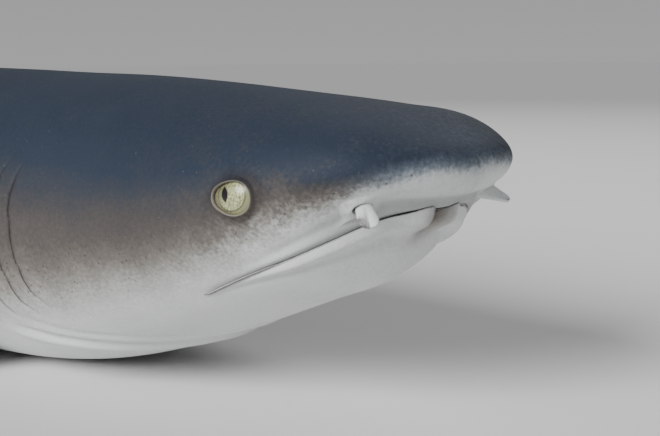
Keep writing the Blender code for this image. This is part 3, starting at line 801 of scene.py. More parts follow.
def opening(mesh, grid, charts, place, half_sizes, turn, profile, lean, wanted, egg=(), eye=False):
    """Replaces a patch of the face by loops that close in on an oval and follow a profile, then go
    down inside it."""
    cosine, sine = math.cos(turn), math.sin(turn)
    points = mesh.all_points()

    def own(flat):
        x = (flat[..., 0] * cosine + flat[..., 1] * sine) / half_sizes[0]
        y = (-flat[..., 0] * sine + flat[..., 1] * cosine) / half_sizes[1]
        return x, y

    rings = points[np.array(grid.rings[FIRST_FACE_ROW:])]
    beyond = np.linalg.norm(rings - place.here, axis=-1) > PATCH_REACH_M
    low, high, left, right = patch_round(np.hypot(*own(place.flat(rings))) + 100 * beyond, wanted)
    border = grid.patch(low + FIRST_FACE_ROW, high + FIRST_FACE_ROW, left, right)
    numbers = np.array([number for number, _, _ in border])
    chart = np.array([charts[r - FIRST_FACE_ROW][c % grid.around] for _, r, c in border])
    x, y = own(place.flat(points[numbers]))
    start = np.unwrap(np.arctan2(y, x))
    push, dusk = mesh.mark("push")[numbers], mesh.mark("dusk")[numbers]
    count = len(numbers)
    sign = 1.0 if start[-1] > start[0] else -1.0
    even = start.mean() + sign * (np.arange(count) - (count - 1) / 2) * 2 * math.pi / count
    last = numbers
    for i, (scale, rise) in enumerate(profile):
        settled = ease((i + 1) / 5, 0, 1)
        theta = start + (even - start) * settled
        oval = scale * (1 + sum(share * np.cos(corners * (theta - at)) for corners, share, at in egg))
        x, y = np.cos(theta) * half_sizes[0] * oval, np.sin(theta) * half_sizes[1] * oval
        flat = np.stack([x * cosine - y * sine, x * sine + y * cosine], -1)
        mix = min((i + 1) / 4, 1.0)
        at = chart * (1 - mix) + place.on_skin(flat) * mix
        spot = skin(at[:, 0], at[:, 1])
        if eye:
            spot = lid_on_eye(place, spot, flat, scale)
        lift = rise * (1 + lean[0] * np.cos(theta) + lean[1] * np.sin(theta))
        # Among the marks, painted shade: the dark inside of the opening, a shadow line round an eye's lid,
        # and the shade under the upper lip fading out.
        loop = mesh.add(
            spot + lift[:, None] * place.normal,
            station=station_at(np.hypot(at[:, 0], at[:, 1])),
            height=np.arctan2(at[:, 1], np.abs(at[:, 0])) / (math.pi / 2),
            rim=bump(scale, RIM_SCALE, RIM_WIDTH) if rise > 0 else 0.0,
            lash=bump(scale, LID_SHADOW_SCALE, LID_SHADOW_WIDTH) if eye else 0.0,
            hollow=min(max(-rise / HOLLOW_SHADE_DEPTH_M, 0.0), 1.0),
            push=push * (1 - settled),
            dusk=dusk * max(1 - settled, 0.5),
        )
        mesh.ladder(last, loop)
        last = loop
    mesh.cap(last, station=EYE_STATION, hollow=1.0)


def nasal_flap(mesh, side):
    """The flap that stands out of a nostril, split into two soft lobes at its end."""
    sunk, short, fit = 0.0020, 0.0004, 0.96  # how its skin keeps inside its solid
    root, along, across, through = flap_frame(side)
    if through @ surface_frame(NOSTRIL_STATION, NOSTRIL_ANGLE, side)[3] < 0:
        through = -through
    roll = FLAP_ROLL[side]
    across, through = (across * math.cos(roll) + through * math.sin(roll),
                       through * math.cos(roll) - across * math.sin(roll))
    root = root - along * sunk
    length = FLAP_LENGTH_M + FLAP_ROOT_M + sunk - short
    turn = np.linspace(0, 2 * math.pi, 36, endpoint=False)
    p, q = np.cos(turn), np.sin(turn)
    furrow = FLAP_SPLIT[side] * bump(p, -0.05, 0.24)
    loops = []
    for share in np.sin(np.linspace(0, 1, 27) * math.pi / 2):
        full = math.sqrt(max(1 - (share * 0.998) ** 8, 0.0))
        taper = np.interp(ease(share, 0.0, 0.95), (0, 1), FLAP_TAPER[side])
        wide = FLAP_WIDTH_M / 2 * taper * full * fit
        thick = FLAP_THICKNESS_M / 2 * (1.45 - 0.55 * ease(share, 0.1, 0.8)) * full
        split = 1 - furrow * ease(share, 0.25, 0.85)
        end = 0.0052 * furrow * ease(share, 0.45, 1.0)
        curl = 0.0012 * ease(share, 0.2, 1.0) * (p**2 - 0.5)
        loop = root + (length * share - end)[:, None] * along + across * (wide * p)[:, None]
        loop = loop + through * (thick * q * split + curl)[:, None]
        tint = -0.80 + FLAP_TINT[side] * ease(p, -0.9, 0.7) * ease(share, 0.30, 0.75)
        loops.append(mesh.add(loop, station=NOSTRIL_STATION, height=tint, fin=0.3))
    for lower, upper in zip(loops[:-1], loops[1:]):
        mesh.ladder(lower, upper)
    for loop in (loops[-1], loops[0][::-1]):
        mesh.cap(loop, station=NOSTRIL_STATION, height=-0.7, fin=0.3)


# --- The face ---

LIP_GAP_M = 0.0002
LIP_ROUND_M = {"upper": 0.0011, "lower": 0.0014}
PAD_FORWARD = 0.90
SLIDE_DOWN, SLIDE_BACK = 0.93, 0.37  # the way the lower lip opens
# Folds along the lips: which lip, rise, distance from the lip and width in metres, and where they fade
# towards the mouth's corners.
LIP_FOLDS = (
    ("lower", 0.0023, 0.0068, 0.0055, (0.0, 0.35)),
    ("lower", -0.0017, 0.0165, 0.0055, (0.02, 0.3)),
    ("upper", 0.0006, 0.0035, 0.0028, (0.0, 0.3)),
    ("upper", -0.0007, 0.0088, 0.0030, (0.02, 0.3)),
    ("upper", -0.0012, 0.0105, 0.0075, (0.10, 0.90)),
)
# Creases of the throat: offset in stations, depth and width in metres, angle where they start.
THROAT_FOLDS = ((0.0, 0.0030, 0.0030, -38), (-0.0125, 0.0010, 0.0022, -30))
# Station of the throat's crease over the angle below the widest level, in degrees.
THROAT_CREASE = spline((-90, -70, -60, -51, -42, -30), (0.1150, 0.1235, 0.1330, 0.1425, 0.1550, 0.1700))


def chin_pads(y, along):
    """Forward swell of the two halves of the lower jaw, and the valley between them."""
    valley = 0.0068 * bump(y, 0.0, 0.0036) * bump(along, 0.0, 0.0150)
    swell = 0.0052 * bump(np.abs(y), 0.0085, 0.0062) * bump(along, 0.0040, 0.0130)
    return swell - valley


def throat_folds(station, degrees):
    """Swell and creases of the throat, where the floor of the mouth meets the gill covers."""
    low = 1 - ease(degrees, -42, -34)
    total = np.zeros(np.broadcast(station, degrees).shape)
    for offset, depth, width, start in THROAT_FOLDS:
        line = THROAT_CREASE(np.clip(degrees, -90, -30)) + offset
        behind = (station - line) * TOTAL_LENGTH_M
        share = 1 - ease(degrees, start - 6, start + 4)
        total = total - depth * bump(behind, 0.0, width) * share
        total = total + 0.55 * depth * bump(behind, 3.0 * width, 2.2 * width) * share * low
    return total


class Face:
    """The loops round the mouth on the straight body, with the mouth opened and the lips formed."""

    def __init__(self):
        self.turn, self.loops = face_loops()
        self.points = skin(self.loops[:, 0], self.loops[:, 1])
        self.y = self.points[..., 1]
        steps = np.linalg.norm(np.diff(self.points, axis=0), axis=-1)
        self.along = np.concatenate([np.zeros((1, FINE_COLUMNS)), np.cumsum(steps, 0)])
        self.is_lower = np.sin(self.turn) < -1e-9
        self.share = {"upper": np.clip(np.sin(self.turn), 0, 1), "lower": np.clip(-np.sin(self.turn), 0, 1)}
        self.inward = 1 - np.abs(np.cos(self.turn))  # 0 at the mouth's corners, 1 at its middle
        self.station = station_at(np.hypot(self.loops[:, 0], self.loops[:, 1]))
        self.elevation = np.arctan2(self.loops[:, 1], np.abs(self.loops[:, 0]))
        self.gap_m = LIP_GAP_M * (self.inward**0.8 + self.share["lower"])
        self.pads = chin_pads(self.y, self.along) * self.is_lower
        self.open_mouth()

    def open_mouth(self):
        """The lower lip slides down along the jaw, and the chin's pads swell forward."""
        slide = self.gap_m * self.is_lower * bump(self.along, 0, 0.020)
        self.points[..., 0] += self.pads * PAD_FORWARD - slide * SLIDE_BACK
        raised = np.maximum(self.pads, 0) * (0.60 * bump(self.along, 0, 0.0045) - 0.25)
        self.points[..., 2] += raised - slide * SLIDE_DOWN

    def push(self):
        """How far the skin rises for the rounded lips, their folds and the throat."""
        push = throat_folds(self.station, np.degrees(self.elevation))
        for lip, radius in LIP_ROUND_M.items():
            inside = np.clip(1 - self.along / radius, 0, 1)
            edge = 1 - np.sqrt(np.clip(1 - inside**2, 0, 1))
            push -= radius * edge * ease(self.share[lip], 0.0, 0.25) * 0.85
        for lip, rise, distance, width, fade in LIP_FOLDS:
            fold = rise * self.share[lip] ** 0.5 * bump(self.along, distance, width)
            fold = fold * ease(self.inward, *fade)
            if lip == "lower" and rise < 0:
                fold *= ease(np.abs(self.y), 0.008, 0.02)
            push += fold
        return push

    def tints(self, k):
        """Gums' brown at the lips, and painted shade in the chin's valley, under the upper lip and along
        the mouth, on loop k.
        """
        along = self.along[k]
        # painted shade in the valley between the chin's pads, in the gums' brown
        valley_shade = self.is_lower * ease(self.inward, 0.3, 0.6) * bump(self.y[k], 0, 0.0082)
        valley_shade = valley_shade * (1 - ease(along, 0.006, 0.030))
        # painted shade under the upper lip, and a painted shadow line just above the mouth line
        under = self.share["upper"] * bump(along, 0.0050, 0.0075) * ease(self.inward, 0.12, 0.50)
        line = ~self.is_lower * bump(along, 0.0016, 0.0030) * ease(self.inward, 0, 0.04)
        return np.maximum(0.35 * bump(along, 0, 0.0005), 0.90 * valley_shade), 0.50 * np.maximum(under, line)

    def pocket(self, depth, slot):
        """Loop of the mouth's closed pocket, at a share of the way to its middle line."""
        lip, pads = self.points[0], self.pads[0]
        flush = lip[:, 0] - pads * PAD_FORWARD
        x = flush + (lip[:, 0].min() * 0.78 - flush) * depth
        x = x + pads * PAD_FORWARD * (1 - ease(depth, 0.0, 0.30))
        swollen = np.maximum(pads, 0) * 0.35 * (1 - ease(depth, 0.0, 0.15)) - self.gap_m
        arched = (0.0003 + 0.0030 * ease(depth, 0.04, 0.30)) * np.sin(self.turn) * self.inward
        z = slot(x) + np.where(self.is_lower, swollen, 0.0) + arched
        return np.stack([x, lip[:, 1] * (1 - depth), z], -1)

    def add_to(self, mesh):
        """Adds the pocket and the face, and returns their rings."""
        slot, push = mouth_height(), self.push()
        rings = []
        for depth in MOUTH_DEPTHS:
            rings.append(mesh.add(self.pocket(depth, slot), station=0.03, height=-0.8,
                                  hollow=0.9 * ease(depth, 0.10, 0.36), gum=ease(depth, 0.02, 0.16)))
        for k in range(FACE_LOOPS + 1):
            gum, dusk = self.tints(k)
            rings.append(mesh.add(self.points[k], station=self.station[k], push=push[k], gum=gum, dusk=dusk,
                                  height=self.elevation[k] / (math.pi / 2)))
        return rings


# --- The body ---

# Gill slits: where a cover ends behind its slit's line, and where the trough is deepest.
SLIT_EDGE_M, SLIT_MIDDLE_M = 0.00025, 0.0005
# Height and run of the cover, of the trough, and of how far the cover laps back over it.
COVER_RISE_M, COVER_RUN_M = 0.0011, 0.0055
TROUGH_DEPTH_M, TROUGH_RUN_M = 0.0034, 0.0016
LAP_M, LAP_RUN_M = 0.0010, 0.0016


def gill_bow(angle):
    """How far behind its station a gill slit lies at an angle from the widest level."""
    high, low = math.radians(28), math.radians(-33)
    share = np.clip((high - angle) / (high - low), 0, 1)
    return GILL_BOW * (4 * share * (1 - share) - 0.5 * share)


def gill_shape(station, degrees):
    """Push, slide and painted shade that the gill slits give to the skin of one ring."""
    push, slide, hollow = np.zeros((3, len(degrees)))
    for slit, high, low in GILL_SLITS:
        inside = ease(degrees, low - 3, low + 9) * (1 - ease(degrees, high - 9, high + 3))
        wave = 0.00035 * np.sin(degrees * 0.45 + slit * 900) + 0.00025 * np.sin(degrees * 0.93 + slit * 400)
        behind = (station - slit) * TOTAL_LENGTH_M + wave
        on_cover = behind <= SLIT_EDGE_M
        ahead = np.minimum(behind, 0)
        cover = COVER_RISE_M * np.exp(ahead / COVER_RUN_M)
        trough = TROUGH_DEPTH_M * bump(behind, SLIT_MIDDLE_M, TROUGH_RUN_M)
        push += np.where(on_cover, cover, 0.0006 * bump(behind, 0.0050, 0.0020) - trough) * inside
        slide += np.where(on_cover, LAP_M * np.exp(ahead / LAP_RUN_M), 0.0) * inside
        # painted shade in the slit's trough
        hollow = np.maximum(hollow, bump(behind, SLIT_MIDDLE_M, 0.0011) * inside)
    return push, slide, hollow


def gill_rings(mesh, stations, angle):
    """Plain rings behind the face, with the gill slits."""
    elevation = np.arcsin(np.clip(np.sin(angle), -1, 1))
    degrees = np.degrees(elevation)
    rings = []
    for station in stations:
        window = ease(station, 0.1185, 0.1370) * (1 - ease(station, 0.190, 0.262))
        at = station + gill_bow(elevation) * window
        push, slide, hollow = gill_shape(station, degrees)
        rings.append(mesh.add(on_skin(at, angle), station=at, height=elevation / (math.pi / 2), slide=slide,
                              push=push + throat_folds(at, degrees), hollow=hollow))
    return rings


def body_rings(mesh, stations, angle):
    """Rings of the trunk, the stem and the tail's upper lobe, whose tip is white."""
    height = np.arcsin(np.clip(np.sin(angle), -1, 1)) / (math.pi / 2)
    return [mesh.add(tail_ring(station, angle), station=station, height=height,
                     tip=ease(station, 0.90, LOBE_TIP)) for station in stations]


def build_skin():
    """The whole skin as one closed mesh on the straight body."""
    mesh = Mesh()
    face = Face()
    rings = face.add_to(mesh)
    angle = column_angles(FINE_COLUMNS)[1]
    stations = ring_stations()
    places = np.concatenate([np.full(len(rings), -1.0), stations])
    fine = Grid(rings + gill_rings(mesh, stations, angle), places, angle)

    angle = column_angles(COARSE_COLUMNS)[1]
    trunk = FINE_END + np.arange(1, 101) * COARSE_STEP
    places = np.concatenate([trunk, np.linspace(0.781, 0.98, 56), np.linspace(0.983, LOBE_TIP, 8)])
    coarse = Grid(body_rings(mesh, places, angle), places, angle)

    charts = np.moveaxis(face.loops, 1, 2)
    for side in (1, -1):
        eye = Place(EYE_STATION, EYE_ANGLE, side)
        opening(mesh, fine, charts, eye, EYE_OPENING_M, 0.0, EYELID, (0.0, 0.25), 1.75, EYE_EGG, eye=True)
        nostril = Place(NOSTRIL_STATION, NOSTRIL_ANGLE, side)
        nostril.move(np.full(2, -NOSTRIL_INSET_M / math.sqrt(2)))
        opening(mesh, fine, charts, nostril, NOSTRIL_OPENING_M, math.radians(45), NOSTRIL, (0.8, 0.0), 2.25)
        nasal_flap(mesh, side)
    midline_fins(mesh, coarse)
    paired_fins(mesh, fine, PECTORAL_SIZES, PECTORAL, (0.001, 0.0625), -46, -27, 34)
    paired_fins(mesh, coarse, PELVIC_SIZES, PELVIC, (-0.001, 0.048), -60, -34, 18)

    mesh.faces += fine.faces() + coarse.faces()
    last, first = fine.rings[-1], coarse.rings[0]
    for j in range(COARSE_COLUMNS):
        k = (j + 1) % COARSE_COLUMNS
        a, b, c = last[2 * j], last[2 * j + 1], last[(2 * j + 2) % FINE_COLUMNS]
        mesh.faces += [(a, b, first[j]), (b, first[k], first[j]), (b, c, first[k])]
    mesh.zip_shut(fine.rings[0])
    mesh.cap(coarse.rings[-1][::-1], station=1.0, tip=1.0, height=0.5)
    return mesh


def vertex_normals(points, faces):
    """Area-weighted normals of the points."""
    normals = np.zeros_like(points)
    quads = np.array([face if len(face) == 4 else (*face, face[2]) for face in faces])
    a, b, c, d = (points[quads[:, i]] for i in range(4))
    across = np.cross(c - a, d - b)
    four_sided = quads[:, 2] != quads[:, 3]
    for i in range(4):
        use = slice(None) if i < 3 else four_sided
        np.add.at(normals, quads[use, i], across[use])
    return normals / np.maximum(np.linalg.norm(normals, axis=1, keepdims=True), 1e-12)


def add_marks(obj, marks):
    """Point attributes for the materials."""
    for name, values in marks.items():
        layer = obj.data.attributes.new(name, "FLOAT", "POINT")
        layer.data.foreach_set("value", np.asarray(values, np.float32))


def new_object(name, points, faces):
    data = bpy.data.meshes.new(name)
    data.from_pydata([tuple(p) for p in points], [], [tuple(int(i) for i in face) for face in faces])
    data.update()
    data.shade_smooth()
    obj = bpy.data.objects.new(name, data)
    bpy.context.scene.collection.objects.link(obj)
    return obj


def ahead_of_tip():
    """How far the posed snout lies behind the solid's snout tip, as a move along x."""
    stations, angles = np.linspace(0, 0.01, 40), np.linspace(-math.pi, math.pi, 90)
    snout = posed(on_skin(stations[:, None], angles[None, :]).reshape(-1, 3))
    return np.array([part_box("head")[1][0] - snout[:, 0].max(), 0.0, 0.0])


SHIFT = ahead_of_tip()

# Angle of the border between back and belly, and half its width, in degrees over stations.
BORDER_LEVEL = (
    (0.0, 0.006, 0.015, 0.020, 0.026, 0.032, 0.040, 0.06, 0.09, 0.12, 0.16, 0.30, 0.70, 1.0),
    (-9, -12, -17, -19.5, -18, -13, -10.5, -15, -17.5, -13, -10, -16, -22, -35),
)
BORDER_WIDTH = (
    (0.0, 0.006, 0.015, 0.020, 0.026, 0.032, 0.06, 0.09, 0.16, 1.0),
    (34, 26, 16, 18, 22, 26, 31, 34, 40, 40),
)
# On the flat front of the snout the border follows a height instead: its level and half width. The border
# is the real countershading, but its wide soft spread here also paints shade on the lower front of the
# snout.
FRONT_LEVEL_M, FRONT_WIDTH_M = -0.0018, 0.0065


def boundary(station, height, level_m):
    """Signed place of a skin point between the pale belly (-1) and the slate back (1)."""
    by_angle = (height * 90 - np.interp(station, *BORDER_LEVEL)) / np.interp(station, *BORDER_WIDTH)
    # on the snout's front the wide border also stands for painted shade
    by_height = (level_m - FRONT_LEVEL_M) / FRONT_WIDTH_M
    front = 1 - ease(station, 0.002, 0.008)
    return np.clip(by_angle * (1 - front) + by_height * front, -1, 1)


def dress_body():
    """The skin, posed and marked."""
    mesh = build_skin()
    points = mesh.all_points()
    normals = vertex_normals(points, mesh.faces)
    station, height = mesh.mark("station"), mesh.mark("height")
    trunk = station > 0.3
    if (normals[trunk, 1] * np.sign(points[trunk, 1])).mean() < 0:
        normals = -normals
        mesh.faces = [tuple(reversed(face)) for face in mesh.faces]
    points = points + normals * mesh.mark("push")[:, None]
    points[:, 0] -= mesh.mark("slide")
    hide = new_object("shark_skin", posed(points) + SHIFT, mesh.faces)
    add_marks(hide, {name: mesh.mark(name) for name in ("tip", "hollow", "rim", "gum", "lash", "dusk")})
    flank = ease(station, 0.26, 0.32) * (1 - ease(np.abs(height - 0.15), 0.25, 0.55))
    add_marks(hide, {
        "zone": boundary(station, height, points[:, 2]),
        "grain": 0.75 - 0.45 * ease(station, 0.03, 0.09),
        "warmth": ease(station, 0.005, 0.026),
        "flank": flank * (mesh.mark("fin") < 0.5),
    })
    straight = hide.data.attributes.new("straight", "FLOAT_VECTOR", "POINT")
    straight.data.foreach_set("vector", np.asarray(points, np.float32).ravel())
    return hide


# --- Eyes ---

EYE_RINGS, EYE_AROUND = 56, 96
EYE_CLEARANCE_M = 0.00015


def eyeball(side):
    """Ellipsoid with its pole outwards, and how far each point lies back and up from that pole."""
    here, normal, back, up = surface_frame(EYE_STATION, EYE_ANGLE, side)
    centre = here + normal * (EYE_BULGE_M - EYE_DEPTH_M / 2)
    half = np.array([EYE_DEPTH_M, EYE_LENGTH_M, EYE_HEIGHT_M]) / 2 - EYE_CLEARANCE_M
    turn = np.linspace(0, 2 * math.pi, EYE_AROUND, endpoint=False)
    across = np.cos(turn)[:, None] * half[1] * back + np.sin(turn)[:, None] * half[2] * up
    share = np.arange(1, EYE_RINGS)[:, None, None] / EYE_RINGS
    polar = math.pi * (0.72 * share + 0.28 * share**2)
    rings = centre + np.cos(polar) * half[0] * normal + np.sin(polar) * across
    poles = [centre + half[0] * normal, centre - half[0] * normal]
    points = np.vstack([poles[:1], rings.reshape(-1, 3), poles[1:]])
    last = len(points) - 1
    faces = []
    for j in range(EYE_AROUND):
        k = (j + 1) % EYE_AROUND
        faces.append((0, 1 + j, 1 + k))
        for a in range(1, last - EYE_AROUND, EYE_AROUND):
            b = a + EYE_AROUND
            faces.append((a + j, b + j, b + k, a + k))
        faces.append((last, last - EYE_AROUND + k, last - EYE_AROUND + j))
    if side > 0:
        faces = [tuple(reversed(face)) for face in faces]
    ball = new_object("eyeball_" + ("left" if side > 0 else "right"), posed(points) + SHIFT, faces)
    away = points - centre
    add_marks(ball, {"back_mm": away @ back / MM, "up_mm": away @ up / MM})
    return ball


# --- Materials ---


class Nodes:
    """Short ways to add shader nodes to the node tree of a material or a world."""

    def __init__(self, owner, shader="Principled BSDF"):
        self.owner = owner
        owner.use_nodes = True
        self.tree = owner.node_tree
        self.shader = self.tree.nodes[shader]

    def feed(self, node, sources):
        """Sets a constant on each socket that is given one, and links the others."""
        for socket, source in sources.items():
            if isinstance(source, (int, float, tuple)):
                node.inputs[socket].default_value = source
            else:
                self.tree.links.new(source, node.inputs[socket])

    def node(self, kind, output, sources, **settings):
        node = self.tree.nodes.new("ShaderNode" + kind)
        for name, value in settings.items():
            setattr(node, name, value)
        self.feed(node, sources)
        return node.outputs[output]

    def mark(self, name, output="Fac"):
        return self.node("Attribute", output, {}, attribute_name=name)

    def place(self, output):
        return self.node("TexCoord", output, {})

    def math(self, operation, *values):
        return self.node("Math", 0, dict(enumerate(values)), operation=operation)

    def times(self, first, *others):
        for other in others:
            first = self.math("MULTIPLY", first, other)
        return first

    def plus(self, a, b):
        return self.math("ADD", a, b)

    def minus(self, a, b):
        return self.math("SUBTRACT", a, b)

    def scaled(self, value, factor, offset):
        return self.math("MULTIPLY_ADD", value, factor, offset)

    def size(self, value):
        return self.math("ABSOLUTE", value)

    def band(self, value, low, high, start=0.0, end=1.0):
        """Smooth step between low and high."""
        values = dict(enumerate((value, low, high, start, end)))
        return self.node("MapRange", 0, values, interpolation_type="SMOOTHSTEP")

    def noise(self, where, scale, detail, roughness=0.55):
        sources = {"Vector": where, "Scale": scale, "Detail": detail, "Roughness": roughness}
        return self.node("TexNoise", "Fac", sources)

    def cells(self, where, scale):
        return self.node("TexVoronoi", "Distance", {"Vector": where, "Scale": scale})

    def mix(self, share, a, b):
        return self.node("Mix", 2, {"Factor": share, 6: a, 7: b}, data_type="RGBA")

    def layered(self, colour, layers):
        """A colour under layers of (share, colour)."""
        for share, over in layers:
            colour = self.mix(share, colour, over)
        return colour

    def ramp(self, value, stops):
        """Colours at positions along a value."""
        colour = self.node("ValToRGB", "Color", {"Fac": value})
        elements = colour.node.color_ramp.elements
        while len(elements) < len(stops):
            elements.new(0.5)
        for element, (position, shade) in zip(elements, stops):
            element.position = position
            element.color = shade
        return colour

    def bump(self, height, distance, strength, under=None):
        sources = {"Height": height, "Distance": distance, "Strength": strength}
        if under is not None:
            sources["Normal"] = under
        return self.node("Bump", "Normal", sources)

    def done(self, sources):
        """Feeds the shader, and returns the material or the world."""
        self.feed(self.shader, sources)
        return self.owner


def tone(red, green, blue):
    """Linear colour of an 8-bit one."""
    linear = [((v / 255 + 0.055) / 1.055) ** 2.4 if v > 10 else v / 255 / 12.92 for v in (red, green, blue)]
    return (*linear, 1.0)


def tones(*stops):
    return [(position, tone(*colour)) for position, colour in stops]


# From the belly to the back: brown along the cheeks and flanks, blue at the snout.
BROWN_TONES = tones(
    (0.00, (222, 225, 225)), (0.16, (208, 211, 210)), (0.29, (176, 177, 174)), (0.39, (138, 136, 131)),
    (0.49, (108, 102, 97)), (0.61, (86, 81, 78)), (0.73, (72, 69, 69)), (0.85, (56, 59, 66)),
    (1.00, (42, 51, 65)),
)
BLUE_TONES = tones(
    (0.00, (222, 225, 225)), (0.16, (209, 213, 214)), (0.29, (180, 185, 188)), (0.39, (143, 150, 157)),
    (0.49, (112, 120, 129)), (0.61, (88, 97, 108)), (0.73, (70, 79, 91)), (0.85, (56, 64, 77)),
    (1.00, (42, 51, 65)),
)
IRIS_TONES = tones(
    (0.38, (84, 80, 56)), (0.46, (138, 140, 98)), (0.53, (178, 184, 138)), (0.62, (206, 212, 172)),
)
BORDER_SHADE = 0.46
IRIS_BACK_MM, IRIS_UP_MM, IRIS_RADIUS_MM, IRIS_FLATNESS = -1.2, 0.9, 7.1, 1.10
PUPIL_BACK_MM, PUPIL_UP_MM, PUPIL_HALF_WIDTH_MM, PUPIL_HALF_HEIGHT_MM = 1.5, 1.9, 1.75, 3.4
FLOOR_HALF_M = 14.0
FLOOR_FADE_M = (0.4, 4.0)
FLOOR_FAR_TONE = tone(172, 172, 172)


def hide_material():
    """Slate back over a pale belly, the border speckled, white fin tips; painted shade in the openings,
    round the lids, at the chin and under the upper lip.
    """
    n = Nodes(bpy.data.materials.new("shark_hide"))
    where = n.mark("straight", "Vector")
    broad = n.noise(where, 11.0, 4.0)
    middle = n.noise(where, 60.0, 4.0)
    fine = n.noise(where, 520.0, 2.0)
    ragged = n.plus(n.scaled(broad, 0.55, -0.275), n.scaled(middle, 0.40, -0.20))
    ragged = n.plus(ragged, n.scaled(fine, 0.55, -0.275))
    shade = n.plus(n.scaled(n.mark("zone"), 0.5, 0.5), n.times(ragged, n.mark("grain")))
    colour = n.mix(n.mark("warmth"), n.ramp(shade, BLUE_TONES), n.ramp(shade, BROWN_TONES))

    near_border = n.band(n.size(n.minus(shade, BORDER_SHADE)), 0.05, 0.26, 1.0, 0.0)
    freckles = n.times(
        n.band(n.cells(where, 420.0), 0.10, 0.32, 1.0, 0.0), near_border,
        n.times(n.band(n.noise(where, 170.0, 2.0), 0.48, 0.62), 0.75),
    )
    grains = n.times(
        n.band(n.cells(where, 600.0), 0.08, 0.24, 1.0, 0.0),
        n.band(n.noise(where, 240.0, 1.0), 0.60, 0.76, 0.0, 0.40),
    )
    spots = n.times(n.band(n.cells(where, 9.0), 0.05, 0.085, 0.75, 0.0), n.mark("flank"))
    gum = n.mix(middle, tone(92, 80, 70), tone(112, 97, 86))
    layers = (
        (n.band(broad, 0.35, 0.75, 0.0, 0.10), tone(84, 88, 94)),
        (freckles, tone(52, 48, 54)),
        (grains, tone(150, 150, 150)),
        (spots, tone(48, 50, 58)),
        (n.band(n.scaled(middle, 0.16, n.mark("tip")), 0.66, 0.80), tone(226, 228, 226)),
        (n.times(n.mark("rim"), 0.8), tone(152, 146, 130)),
        # painted shadow: a dark line round each lid
        (n.times(n.mark("lash"), 0.40), tone(46, 40, 34)),
        # painted shade under the upper lip and along the mouth line
        (n.mark("dusk"), tone(104, 108, 107)),
        # the gums' own brown at the lips and inside the mouth, also painted as shade in the chin's valley
        (n.mark("gum"), gum),
        # painted shade inside the mouth, nostrils and gill slits
        (n.mark("hollow"), tone(34, 24, 24)),
    )
    wrinkles = n.bump(n.noise(where, 90.0, 5.0, 0.6), 0.0012, 0.30)
    denticles = n.bump(n.cells(where, 1500.0), 0.00025, 0.45, wrinkles)
    return n.done({
        "Base Color": n.layered(colour, layers),
        "Normal": denticles,
        "Roughness": n.scaled(fine, 0.20, 0.46),
        "Specular IOR Level": 0.12,
        "Subsurface Weight": 0.06,
        "Subsurface Radius": (0.004, 0.003, 0.002),
    })


def eye_material():
    """Pale yellow-green iris with an upright slit pupil, in an olive-grey surround under a wet coat, with
    painted shade towards the back and top.
    """
    n = Nodes(bpy.data.materials.new("shark_eye"))
    back, up = n.mark("back_mm"), n.mark("up_mm")
    u = n.minus(back, IRIS_BACK_MM)
    v = n.times(n.minus(up, IRIS_UP_MM), IRIS_FLATNESS)
    where = n.node("CombineXYZ", 0, {0: back, 1: up})
    drawn = n.node("Mapping", 0, {"Vector": where, "Scale": (2.4, 0.5, 1.0)})
    mottle = n.noise(where, 0.9, 5.0, 0.65)
    streaks = n.noise(drawn, 1.1, 4.0, 0.6)
    # painted shade: the iris darkens towards the back and top, and the surround pales towards the front and
    # bottom
    shaded = n.plus(n.times(u, 0.8), n.times(v, 0.5))
    iris = n.ramp(n.scaled(mottle, 0.55, n.times(streaks, 0.45)), IRIS_TONES)
    iris = n.mix(n.band(shaded, -1.0, 6.5, 0.0, 0.80), iris, tone(92, 88, 64))
    rest = n.mix(n.band(mottle, 0.35, 0.65), tone(100, 96, 74), tone(132, 130, 100))
    rest = n.mix(n.band(shaded, -6.0, -1.0, 0.7, 0.0), rest, tone(150, 152, 112))

    out = n.math("SQRT", n.plus(n.times(u, u), n.times(v, v)))
    colour = n.mix(n.band(out, IRIS_RADIUS_MM - 0.25, IRIS_RADIUS_MM + 0.15), iris, rest)
    iris_edge = n.size(n.minus(out, IRIS_RADIUS_MM))
    # Upright slit with pointed ends.
    along = n.math("DIVIDE", n.minus(up, PUPIL_UP_MM), PUPIL_HALF_HEIGHT_MM)
    reach_mm = n.times(n.minus(1.0, n.times(along, along)), PUPIL_HALF_WIDTH_MM)
    in_pupil = n.minus(reach_mm, n.size(n.minus(back, PUPIL_BACK_MM)))
    layers = (
        (n.band(iris_edge, 0.1, 0.55, 0.65, 0.0), tone(58, 56, 44)),
        (n.band(in_pupil, -0.75, -0.1, 0.0, 0.45), tone(90, 84, 60)),
        (n.band(in_pupil, -0.12, 0.12), tone(10, 8, 12)),
    )
    return n.done({
        "Base Color": n.layered(colour, layers),
        "Normal": n.bump(streaks, 0.00015, 0.3),
        "Roughness": 0.30,
        "Coat Weight": 0.35,
        "Coat Roughness": 0.03,
        "Coat IOR": 1.38,
    })


def floor_material():
    """Plain pale floor, a little dimmer far off, so that it runs into the surround."""
    n = Nodes(bpy.data.materials.new("pale_floor"))
    where = n.place("Object")
    far = n.band(n.node("VectorMath", "Value", {0: where}, operation="LENGTH"), *FLOOR_FADE_M)
    near = n.mix(n.noise(where, 6.0, 4.0), tone(234, 234, 232), tone(240, 240, 239))
    return n.done({
        "Base Color": n.mix(far, near, FLOOR_FAR_TONE),
        "Normal": n.bump(n.noise(where, 300.0, 2.0), 0.0004, 0.2),
        "Roughness": 0.85,
        "Specular IOR Level": 0.0,
    })


# --- The shark ---

hide = dress_body()
hide.data.materials.append(hide_material())
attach(hide, "root")
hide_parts(*[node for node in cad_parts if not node.startswith("eye")])

wet = eye_material()
for side, word in ((1, "left"), (-1, "right")):
    ball = eyeball(side)
    ball.data.materials.append(wet)
    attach(ball, "root")
    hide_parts("eye_" + word)

# --- Floor, light and camera ---

# Each lamp: direction it comes from, strength, and how wide it looks, in degrees.
LAMPS = {
    "key": ((0.05, -1.0, 0.50), 4.2, 28),
    "rear": ((-0.3, 0.9, 0.9), 0.6, 40),
}
